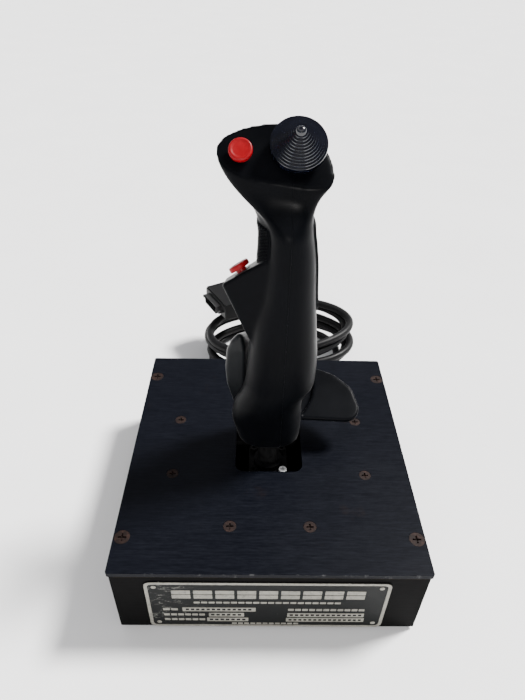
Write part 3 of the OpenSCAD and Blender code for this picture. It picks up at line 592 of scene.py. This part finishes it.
add_camera()
GRIP = moulded("grip_black", (0.0010, 0.0012, 0.0017), (0.0020, 0.0023, 0.0032), 0.36, level=0.032,
               wear=0, haze=0.035)
# The pinky lever gets a paler black than the grip: painted light, for the light that its face and rim catch.
PADDLE_PAINTED_LIGHT = moulded("paddle_black_painted_light", (0.0042, 0.0050, 0.0058), (0.0068, 0.0078, 0.0092), 0.42, level=0.15,
                 haze=0.08)
SWITCH = moulded("switch_black", (0.004, 0.004, 0.0042), (0.008, 0.008, 0.0085), 0.5, level=0.25)
RUBBER = moulded("rubber", (0.004, 0.004, 0.004), (0.008, 0.008, 0.008), 0.62, grain=900, depth=0.05,
                 level=0.25)
WHITE = moulded("white_plastic", (0.40, 0.38, 0.33), (0.50, 0.48, 0.43), 0.45)
OXIDE = blackened()
FLANGE_SCREW_GLINT = painted_glint_screws()
STEEL = metal("steel", (0.55, 0.55, 0.56), 0.36)
SPRING = metal("spring_steel", (0.50, 0.50, 0.52), 0.28, grain=1800)
CASE = metal("pot_case", (0.42, 0.46, 0.52), 0.38)
BRASS = metal("brass", (0.70, 0.50, 0.20), 0.30)
PAINT = brushed_black()
BOARD = painted_board()
RUST = rusty()
RED = glossy_red()
HAT = hat_gloss()
FIELD = plate_field()
PRINT = plate_print()
JACKET = cord_jacket()
WOOD = sawn_wood()
GREEN = laminate()
BY_SLOT = {
    "grip_black": GRIP, "switch_black": SWITCH, "rubber": RUBBER, "white_plastic": WHITE, "steel": STEEL,
    "spring_steel": SPRING, "pot_case": CASE, "brass": BRASS, "black_paint": PAINT, "black_board": BOARD,
    "rust_screw": RUST, "red_button": RED, "hat_black": HAT, "plate_black": FIELD, "cord_rubber": JACKET,
    "wood": WOOD, "green_board": GREEN}
BY_NODE = {
    "stick_flange": OXIDE, "stick_tube": OXIDE, "roll_arm": OXIDE, "roll_pins": OXIDE, "gimbal_ring": OXIDE,
    "left_bracket": OXIDE, "right_bracket": OXIDE, "flange_screws": FLANGE_SCREW_GLINT, "pivot_block": SWITCH,
    "nameplate_rivets": PRINT, "pinky_lever": PADDLE_PAINTED_LIGHT}

# Every CAD node gets its own finish or its slot's material. The pieces below then replace some of them.
for row in frame["record"]["subparts"]:
    o = frame["nodes"][row["node"]]
    o.data.materials.clear()
    o.data.materials.append(finish_of(row["node"]))

# --- Cord: the same points as the CAD's, then the wound turns that its coil stands for ---
LEAD = [[58, 113.6, 13.5], [58, 120, 13.4], [58.4, 128, 11.9], [59.8, 136, 8.8], [62.2, 144, 5.6],
        [65.2, 152.5, 3.9], [68.2, 162, 3.6], [70.4, 172, 3.6]]
TAIL = [[39, 212.6, 39.8], [30, 214.8, 41], [20, 216, 42.9], [10, 215.8, 45.3], [0, 213.8, 47.9],
        [-9, 210.4, 49.9], [-17, 206, 50.8]]
CORD_R = 3.5


def coil_point(t):
    """The wound cord after t turns, climbing one layer late in each turn."""
    whole = math.floor(t)
    s = min(1, max(0, (t - whole - 0.5) / 0.42))
    height = whole + s * s * (3 - 2 * s)
    a = 2 * math.pi * t
    lean = math.radians(12 * math.sin(math.radians(105 * t)) * min(1, 2 * t))
    x = (58 + 8 * min(1, t) + 2 * math.sin(math.radians(150 * t))) * math.cos(a)
    y = (42.5 + 1.5 * math.sin(math.radians(200 * t))) * math.sin(a)
    return [14 + x * math.cos(lean) - y * math.sin(lean) - 1.5 * min(1, t),
            174 + x * math.sin(lean) + y * math.cos(lean), 3.6 + 7.3 * height]


def add_cord():
    turns = [coil_point(t) for t in np.linspace(0.055, 5.12, 81)]
    path = evenly(smooth_curve(LEAD + turns + TAIL, 10), 4) * MM
    o = tube("cord", path, CORD_R * MM)
    piece(o, "base", JACKET, ["cord_lead", "cord_coil", "cord_tail"], 60)
    length = float(np.linalg.norm(np.diff(path, axis=0), axis=1).sum())
    return o, path, length


cord, cord_path, cord_length = add_cord()
hood = refined("connector_hood", 1.2, 3)
shell = refined("connector_shell", 0.25)
thumbscrews = refined("connector_screws", 0.3)
sleeve = refined("strain_relief", 0.3)

# --- Grip: one moulded body, blended where its parts meet, then cut, and parted at the seam ---
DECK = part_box("top_plate")[1].z / MM
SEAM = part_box("right_grip_shell")[0].x
FACE_TILT = math.radians(43.8)
FACE = Matrix.Translation(Vector((0, 8.5, DECK + 192.4)) * MM) @ Matrix.Rotation(FACE_TILT, 4, "X") \
    @ Matrix.Scale(MM, 4)
HAT_AT = Vector((8.5, 0.3, 0))
THUMB_AT = Vector((-18.3, -1.4, 0))
LEDGE_N = Vector((-0.53, 0.33, 0.78))
LEDGE_P = Vector((-17.4, 1.4, DECK + 132.2))
PINKY_P = Vector((-17.5, 12, DECK + 37))
PINKY_AXIS = Vector((math.cos(math.radians(54)), math.sin(math.radians(54)), 0))
TRIGGER_P = Vector((5.2, 19, DECK + 165))
SCREW_AT = [(14, 66), (14, 94), (14, 122), (2, 172)]

# Height over the deck, y, tilt, left, right, rear, front, taper to the left, droop at the right.
STATIONS = np.array([
    [14.4, 0, 0, -20, 19, -15, 19, 0, 0],
    [21, 0, 0, -21.6, 19.6, -16, 22, 0, 0],
    [31, 0, 0, -23.8, 19.6, -16.6, 24.5, 0, 0],
    [41, 0, 0, -21.8, 19.2, -17.4, 25.5, 0, 0],
    [50, 0, 0, -18, 20.2, -17.8, 25.5, 0, 0],
    [56, 0, 0, -16.2, 23.2, -18, 25.2, 0, 0],
    [61, 0, 0, -15.4, 25.6, -18, 25, 0, 0],
    [77, 0, 0, -14.2, 26, -18, 25, 0, 0],
    [94, 0, 0, -13, 24.6, -17.6, 24.2, 0, 0],
    [119, 0, 0, -11, 22.2, -17, 22.6, 0, 0],
    [139, 0, 0, -9.2, 20.7, -16.5, 21.6, 0, 0],
    [149, 0, 0, -8.6, 19.4, -16.2, 21.4, 0, 0],
    [157, 2, 0, -8.8, 18.2, -17.4, 20.6, 0, 0],
    [166.5, 4, 14, -11.8, 17.8, -17, 22.6, 0.04, -0.6],
    [175.5, 6.5, 28, -18.8, 20, -16, 22, 0.12, -2.4],
    [184.5, 8.3, 38, -26.4, 23.6, -16, 18.6, 0.15, -6.2],
    [192.4, 8.5, 43.8, -30.2, 26.8, -16.5, 14.4, 0.15, -10.6]], float)
POWER = 2.25
NECK_LEAN = 3.2


def station(u):
    i = min(int(u), len(STATIONS) - 2)
    t = u - i
    a, b, c, d = (STATIONS[min(max(k, 0), len(STATIONS) - 1)] for k in (i - 1, i, i + 1, i + 2))
    return 0.5 * (2 * b + (c - a) * t + (2 * a - 5 * b + 4 * c - d) * t**2 + (3 * b - a - 3 * c + d) * t**3)


def ease(v):
    v = min(1, max(0, v))
    return v * v * (3 - 2 * v)


def grip_point(s, angle, out=0.0):
    """A point of the grip's skin on one station, moved out from it."""
    def bulge(v):
        return math.copysign(abs(v) ** (2 / POWER), v)
    mid, half = (s[3] + s[4]) / 2, (s[4] - s[3]) / 2 + out
    x = half * bulge(math.cos(angle))
    # The neck's left flank leans in towards the user, so that its side shows from behind the stick.
    neck = ease((s[0] - 100) / 25) * ease((180 - s[0]) / 14)
    x += NECK_LEAN * neck * ease(-math.sin(angle) / 0.62) * max(0, -math.cos(angle)) ** 0.6
    reach = (s[6] if math.sin(angle) > 0 else -s[5]) + out
    y = reach * bulge(math.sin(angle)) * (1 + s[7] * x / half) + s[8] * max(0, x / half) ** 2
    tilt = math.radians(s[2])
    return Vector((mid + x, s[1] + y * math.cos(tilt), DECK + s[0] + y * math.sin(tilt)))


def grip_body():
    sides, per = 96, 6
    rows = (len(STATIONS) - 1) * per + 1
    points = [grip_point(station(i / per), 2 * math.pi * k / sides) * MM
              for i in range(rows) for k in range(sides)]
    return new_object("grip_body", points, loops(rows, sides))


def on_ledge(x, y):
    fall = LEDGE_N.x * (x - LEDGE_P.x) + LEDGE_N.y * (y - LEDGE_P.y)
    return Vector((x, y, LEDGE_P.z - fall / LEDGE_N.z))


def ledge_body():
    r = 1.6
    corners = ((-5, -8), (-27, -2.5), (-26, 12), (-5, 16))
    top = [on_ledge(x, y) - r * LEDGE_N.normalized() for x, y in corners]
    foot = [Vector((-9.5, -7, DECK + 88)), Vector((-9, 12, DECK + 86))]
    return hull_of("ledge_body", [q * MM for c in top + foot for q in ball(c, r)])


# The palm shelf's rounded corners, as (x, y, radius), and the outline of the sunk strip beside the grip.
SHELF = [(48.6, 9.6, 9.8), (45, 18, 11), (38.5, 25, 10.2), (31, 29.5, 9), (4, 10, 8.4), (6, 24, 8)]
SHELF_GAP = [(16, 5), (20.5, 4.6), (24, 9), (27.3, 15.7), (28.8, 22), (29, 27), (27.4, 29.6), (24.4, 29.4),
             (20.6, 26), (17.5, 21)]


def shelf_body():
    tilt = Matrix.Translation((0, 1, DECK + 25.4)) @ Matrix.Rotation(math.radians(20), 4, "X") \
        @ Matrix.Translation((0, -1, -3.6))
    points = []
    for x, y, r in SHELF:
        for inset, z in ((1.3, 0), (0.4, 0.35), (0, 1.2), (0, 2.4), (0.4, 3.25), (1.3, 3.6)):
            points += [tilt @ Vector((x + (r - inset) * math.cos(a), y + (r - inset) * math.sin(a), z)) * MM
                       for a in np.linspace(0, 2 * math.pi, 48, endpoint=False)]
    shelf = hull_of("shelf_body", points)
    rim = smooth_curve([(x, y, 0) for x, y in SHELF_GAP + SHELF_GAP[:1]], 4)[:-1]
    points = [tilt @ Vector((x, y, z)) * MM for z in (1, 9) for x, y, _ in rim]
    return boolean(shelf, new_object("cut", points, loops(2, len(rim))))


def remesh(o, voxel, rounds):
    mod = o.modifiers.new("remesh", "REMESH")
    mod.mode, mod.voxel_size, mod.adaptivity = "VOXEL", voxel * MM, 0
    apply_modifiers(o)
    mod = o.modifiers.new("smooth", "SMOOTH")
    mod.factor, mod.iterations = 0.5, rounds
    return apply_modifiers(o)


def soften(o, weights, rounds):
    """Smooths a mesh where its weights say."""
    group = o.vertex_groups.new(name="soft")
    for i in np.flatnonzero(weights > 0.02):
        group.add([int(i)], float(weights[i]), "REPLACE")
    mod = o.modifiers.new("smooth", "SMOOTH")
    mod.factor, mod.iterations, mod.vertex_group = 0.5, rounds, "soft"
    apply_modifiers(o)
    o.vertex_groups.clear()
    return o


def near(o, parts, reach):
    """For each vertex, 1 where it is close to every one of the parts, falling to 0 at reach."""
    dg = bpy.context.evaluated_depsgraph_get()
    weights = np.ones(len(o.data.vertices))
    for part in parts:
        tree = BVHTree.FromObject(part, dg)
        for i, v in enumerate(o.data.vertices):
            if weights[i] > 0:
                hit = tree.find_nearest(v.co, reach * MM)
                weights[i] = 0 if hit[0] is None else min(weights[i], 1 - hit[3] / (reach * MM))
    return weights


def pinky_turn(degrees):
    return Matrix.Translation(PINKY_P) @ Matrix.Rotation(math.radians(degrees), 4, PINKY_AXIS)


def pinky_blade(name, grow, degrees):
    centres = [(-1.8, -4.5, 47.2), (-4.8, -4.6, 43.6), (-6.9, -4.4, 38), (-8, -4, 25), (-7.2, -4.4, 13),
               (-3.5, -3.5, -2), (-0.4, -6.2, 40), (-0.6, -6.2, 10), (2.5, 8, 40), (2.5, 9, 8),
               (1.5, 4.5, -2)]
    turn = pinky_turn(degrees)
    return hull_of(name, [(turn @ q) * MM for c in centres for q in ball(c, 2.4 + grow)])


def facing(origin, normal):
    turn = Vector((0, 0, 1)).rotation_difference(normal).to_matrix().to_4x4()
    return Matrix.Translation(origin * MM) @ turn @ Matrix.Scale(MM, 4)


def along_x(origin):
    turn = Matrix.Rotation(math.radians(90), 4, "Y")
    return Matrix.Translation(Vector(origin) * MM) @ turn @ Matrix.Scale(MM, 4)


def moulded_grip():
    body, ledge, shelf = grip_body(), ledge_body(), shelf_body()
    grip = new_object("grip", [v.co for v in body.data.vertices], [p.vertices for p in body.data.polygons])
    for part in (ledge, shelf):
        boolean(grip, copy_of(part, "part"), "UNION")
    remesh(grip, voxel=0.8, rounds=3)
    soften(grip, near(grip, (body, ledge), reach=4.5), rounds=30)
    soften(grip, near(grip, (body, shelf), reach=4.0), rounds=24)
    # The switch face rolls over gently on the right and keeps a slightly rounded edge on the left.
    to_face = np.array(FACE.inverted())
    local = np.array([v.co for v in grip.data.vertices]) @ to_face[:3, :3].T + to_face[:3, 3]
    weight = np.clip((local[:, 2] + 11) / 8, 0, 1) * np.clip((local[:, 0] + 2) / 12, 0, 1)
    soften(grip, weight, rounds=36)
    soften(grip, np.clip(1 - np.abs(local[:, 2]) / 2.4, 0, 1), rounds=7)
    for part in (body, ledge, shelf):
        remove(part)
    return grip


def cut_grip(grip):
    hat = FACE @ Matrix.Translation(HAT_AT)
    cutters = [cylinder("cut", hat, 8.7, -6.2, -1.6), cylinder("cut", hat, 7.2, -9.8, 9)]
    for seat in (FACE @ Matrix.Translation(THUMB_AT), facing(LEDGE_P, LEDGE_N)):
        cutters += [cylinder("cut", seat, 4.6, -3, 4), cylinder("cut", seat, 5.15, -6.6, -1.8)]
    cutters += [pinky_blade("cut", 0.8, a) for a in (0, 2.8)]
    half = 5.3
    lo = Vector((TRIGGER_P.x - half, 6, DECK + 131)) * MM
    hi = Vector((TRIGGER_P.x + half, 36, DECK + 170)) * MM
    cutters.append(block("cut", lo, hi))
    cutters += [cylinder("cut", along_x((0, y, DECK + z)), 3.0, 14, 44, 40) for y, z in SCREW_AT]
    for c in cutters:
        boolean(grip, c)
    return grip


# Further out than any part of the grip.
FAR = 0.3


def part_line(grip):
    """A fine groove all round, where the two halves of the grip meet."""
    depth, half = 0.0003, 0.00006
    core = copy_of(grip, "core")
    count = len(core.data.vertices)
    co, normals = np.empty(3 * count), np.empty(3 * count)
    core.data.vertices.foreach_get("co", co)
    core.data.vertices.foreach_get("normal", normals)
    core.data.vertices.foreach_set("co", co - depth * normals)
    groove = block("cut", (SEAM - half, -FAR, 0), (SEAM + half, FAR, 2 * FAR))
    boolean(groove, core)
    boolean(grip, groove)


def add_grip():
    grip = cut_grip(moulded_grip())
    part_line(grip)
    for node, x0, x1 in (("left_grip_shell", -FAR, SEAM), ("right_grip_shell", SEAM, FAR)):
        o = copy_of(grip, node + "_fine")
        boolean(o, block("cut", (x0, -FAR, 0), (x1, FAR, 2 * FAR)), "INTERSECT")
        piece(o, "stick", GRIP, [node], 38)
    remove(grip)


def checkering(name, body_angles, heights):
    """Rows of small pyramids moulded on the side of the neck."""
    (a0, a1), (u0, u1) = body_angles, heights
    nu, na = 26, 16
    points, faces = [], []
    for i in range(2 * nu + 1):
        s = station(u0 + (u1 - u0) * i / (2 * nu))
        for k in range(2 * na + 1):
            rim = i in (0, 2 * nu) or k in (0, 2 * na)
            peak = (i + k) % 2 == 1 and not rim
            out = -0.35 if rim else (0.42 if peak else 0.02)
            points.append(grip_point(s, math.radians(a0 + (a1 - a0) * k / (2 * na)), out) * MM)
    w = 2 * na + 1
    for i in range(2 * nu):
        for k in range(2 * na):
            a, b, c, d = i * w + k, i * w + k + 1, (i + 1) * w + k + 1, (i + 1) * w + k
            faces += [(a, b, c), (a, c, d)] if (i + k) % 2 == 0 else [(a, b, d), (b, c, d)]
    o = new_object(name, points, faces)
    mod = o.modifiers.new("solid", "SOLIDIFY")
    mod.thickness, mod.offset = 0.8 * MM, -1
    apply_modifiers(o)
    return piece(o, "stick", GRIP, angle=20)


def add_pinky_lever():
    o = pinky_blade("pinky_lever_fine", 0.25, 0)
    remesh(o, 0.6, 14)
    return stand_for(o, "pinky_lever")


TRIGGER = [(-4, 4), (4, 4), (7.5, -1), (10.5, -8), (12.4, -15), (13.4, -21.5), (13.6, -27), (12.4, -31.4),
           (9.8, -31.8), (7.6, -27), (5, -20), (1, -14), (-5.5, -13), (-6.5, -10)]


def add_trigger():
    loop = TRIGGER[::-1]
    p = smooth_curve([(*q, 0) for q in loop[-2:] + loop + loop[:2]], 5)[10:-11, :2]
    lo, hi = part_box("trigger")
    half = (hi.x - lo.x) / 2 / MM
    place = Matrix(((0, 0, 1, (lo.x + hi.x) / 2 / MM), (1, 0, 0, TRIGGER_P.y),
                    (0, 1, 0, TRIGGER_P.z), (0, 0, 0, 1)))
    rings = [(1.5, -half), (0.7, -half + 0.2), (0.2, -half + 0.7), (0, -half + 1.5),
             (0, half - 1.5), (0.2, half - 0.7), (0.7, half - 0.2), (1.5, half)]
    o = pad("trigger_fine", p, rings, Matrix.Scale(MM, 4) @ place)
    bm = bmesh.new()
    bm.from_mesh(o.data)
    bmesh.ops.recalc_face_normals(bm, faces=bm.faces)
    bm.to_mesh(o.data)
    bm.free()
    return stand_for(o, "trigger")


# A push button's stem and dished cap, as (radius, height) over its seat.
CAP = [(0, -4), (2.8, -4), (2.8, 1.85), (5.2, 1.85), (5.5, 1.95), (5.7, 2.25), (5.7, 3.75), (5.62, 4.15),
       (5.4, 4.48), (5.05, 4.66), (4.65, 4.68), (4.25, 4.56), (3.9, 4.42), (3.2, 4.34), (1.6, 4.31), (0, 4.3)]


def add_buttons():
    seats = {"thumb_button": FACE @ Matrix.Translation(THUMB_AT), "side_button": facing(LEDGE_P, LEDGE_N)}
    for node, seat in seats.items():
        stand_for(lathe(node + "_fine", CAP, seat, 72), node)


def add_hat():
    rings, rim, tip, top, cone = 11, 13.4, 2.4, 11.8, 12.5
    dr, dz = (rim - tip) / rings, (cone - 1.6) / rings
    profile = [(0, 0), (3.2, 0), (3.2, 8.6), (12.9, 8.6), (13.25, 8.72), (13.4, 9.0), (13.4, top - 0.2)]
    for i in range(rings):
        r, z = rim - i * dr, top + i * dz
        profile += [(r - 0.02, z + 0.1), (r - 0.05 * dr, z + 0.55 * dz), (r - 0.14 * dr, z + 0.78 * dz),
                    (r - 0.28 * dr, z + 0.88 * dz), (r - 0.45 * dr, z + 0.88 * dz),
                    (r - 0.92 * dr, z + 0.90 * dz)]
    profile += [(tip, top + cone - 1.6), (2.25, top + cone - 1.05), (1.8, top + cone - 0.5),
                (1.0, top + cone - 0.12), (0, top + cone)]
    place = FACE @ Matrix.Translation(HAT_AT + Vector((0, 0, -5)))
    return stand_for(lathe("hat_cap_fine", profile, place, 128), "hat_cap", angle=32)


def add_nameplate():
    """A blank plate: a raised border, and plain blocks where printing would be."""
    lo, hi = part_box("nameplate")
    w, h = (hi.x - lo.x) / MM, (hi.z - lo.z) / MM
    mid = (lo + hi) / 2
    place = Matrix(((MM, 0, 0, mid.x), (0, 0, -MM, hi.y), (0, MM, 0, mid.z), (0, 0, 0, 1)))
    o = pad("nameplate_field", rounded(w, h, 4), [(0.1, 0), (0, 0.08), (0, 0.47), (0.08, 0.55)], place)
    stand_for(o, "nameplate")
    border = pad("plate_border", rounded(w - 0.2, h - 0.2, 3.9), [(0, 0.3), (0, 0.66), (0.1, 0.75)], place)
    hole = pad("cut", rounded(w - 4, h - 4, 2.6), [(0, -1), (0, 2)], place)
    boolean(border, hole)
    piece(border, "base", PRINT)

    def row(x0, x1, y, high, wide=0.0, gap=0.8):
        """The blocks of one row, or with no width one whole bar, as (from x, to x, y, height)."""
        count = max(1, round((x1 - x0 + gap) / (wide + gap))) if wide else 1
        step = (x1 - x0 + gap) / count
        return [(x0 + i * step, x0 + (i + 1) * step - gap, y, high) for i in range(count)]

    # Each row of blocks or bars: from x, to x, height on the plate, block height, block width, gap.
    title, heading, under, first, second, third, foot = 14.1, 9.5, 3.2, -4.6, -10.6, -16.2, -20.8
    block_rows = [(-54, 55, title, 3.9, 10, 1.8), (-54, 55, heading, 3.9, 10, 1.8),
                  (-42, 42, under, 1.9, 3.4), (-60, -51.6, first, 2.3, 3.6),
                  (-59.9, -36.2, second, 2.3, 3.2), (-59.9, -36.3, third, 2.3, 3.2),
                  (-48.8, -6.6, first, 4.2), (-33.8, -13.3, second, 4.2),
                  (-35, -10.8, third, 4.2), (12.2, 56.6, first, 2.3, 3.4), (12, 57, second, 4.2),
                  (11.5, 57.6, third, 4.2), (-20.5, 19, foot, 1.8, 3.0)]
    mark_rows = [(-47, -9, first), (-32.6, -15, second), (-33.6, -12.4, third), (13.4, 55.6, second),
                 (13, 56, third)]
    blocks = [one for spec in block_rows for one in row(*spec)]
    marks = [one for spec in mark_rows for one in row(*spec, 1.9, 1.9, 1.1)]
    for name, rows, high, mat in (("plate_blocks", blocks, 0.66, PRINT), ("plate_marks", marks, 0.70, FIELD)):
        parts = []
        for a, b, y, t in rows:
            at = place @ Matrix.Translation(((a + b) / 2, y, 0))
            steps = [(0, 0.4), (0, high - 0.03), (0.03, high)]
            parts.append(pad("part", rounded(b - a, t, 0.3, 3), steps, at))
        piece(joined(name, parts), "base", mat)


add_grip()
checkering("left_checkering", (214, 122), (10.0, 12.35))
checkering("right_checkering", (64, 21), (9.55, 12.35))
checkering("right_checkering_edge", (20, -9), (8.7, 12.35))
add_pinky_lever()
add_trigger()
add_buttons()
add_hat()
add_nameplate()
for name in ("top_plate", "front_board", "rear_board", "left_board", "right_board", "bottom_plate"):
    refined(name, 0.45, 3)
for name in ("corner", "bracket", "deck", "bottom", "grip", "flange"):
    refined(name + "_screws", 0.14)
for name in ("nameplate_rivets", "rubber_feet", "cable_gland", "stick_flange"):
    refined(name, 0.3)

# --- Floor and light ---
# The sky's brightness by height: a pale wall low down, a dark room above it,
# and a bright band high up, below a dark ceiling.
SKY = ((0.0, 0.95), (0.10, 0.8), (0.26, 0.07), (0.62, 0.06), (0.79, 0.80), (0.93, 0.05))
SKY_STRENGTH = 3.0
SUN_FROM, SUN_ANGLE, SUN_ENERGY = (0.54, 0.24, 0.80), math.radians(13), 11.0
LAMP_AT, LAMP_SIZE, LAMP_ENERGY = (0.07, -1.15, 0.66), 0.06, 7.0
FLOOR = 30


def add_stage():
    corners = [(-FLOOR, -FLOOR, 0), (FLOOR, -FLOOR, 0), (FLOOR, FLOOR, 0), (-FLOOR, FLOOR, 0)]
    floor = new_object("floor", corners, [(0, 1, 2, 3)])
    p = Paint("floor", rough=0.9, Specular_IOR_Level=0.1)
    tone = p.noise(9, 4)
    p.finish(p.clouded(tone, 0.3, 0.7, (0.80, 0.80, 0.805), (0.83, 0.83, 0.835)),
             None, p.bump(p.noise(700, 3), 0.05, 0.3))
    floor.data.materials.append(p.mat)
    world = bpy.data.worlds.new("studio")
    bpy.context.scene.world = world
    world.use_nodes = True
    tree = world.node_tree
    back = tree.nodes["Background"]
    coord = tree.nodes.new("ShaderNodeTexCoord").outputs["Generated"]
    split = tree.nodes.new("ShaderNodeSeparateXYZ")
    tree.links.new(coord, split.inputs[0])
    ramp = tree.nodes.new("ShaderNodeValToRGB")
    ramp.color_ramp.interpolation = "EASE"
    e = ramp.color_ramp.elements
    while len(e) < len(SKY):
        e.new(0.5)
    for stop, (height, grey) in zip(e, SKY):
        stop.position, stop.color = height, (grey, grey, 1.02 * grey, 1)
    tree.links.new(split.outputs[2], ramp.inputs["Fac"])
    tree.links.new(ramp.outputs["Color"], back.inputs["Color"])
    back.inputs["Strength"].default_value = SKY_STRENGTH
    sun = bpy.data.lights.new("key", "SUN")
    sun.angle, sun.energy, sun.color = SUN_ANGLE, SUN_ENERGY, (1.0, 0.99, 0.97)
    lamp = bpy.data.lights.new("lamp", "AREA")
    lamp.size, lamp.energy, lamp.color = LAMP_SIZE, LAMP_ENERGY, (1.0, 0.98, 0.95)
    for light, place, target in ((sun, SUN_FROM, (0, 0, 0)), (lamp, LAMP_AT, (0, 0, 0.28))):
        o = bpy.data.objects.new(light.name, light)
        bpy.context.scene.collection.objects.link(o)
        o.location = place
        o.rotation_mode = "QUATERNION"
        o.rotation_quaternion = (Vector(target) - Vector(place)).to_track_quat("-Z", "Y")


add_stage()
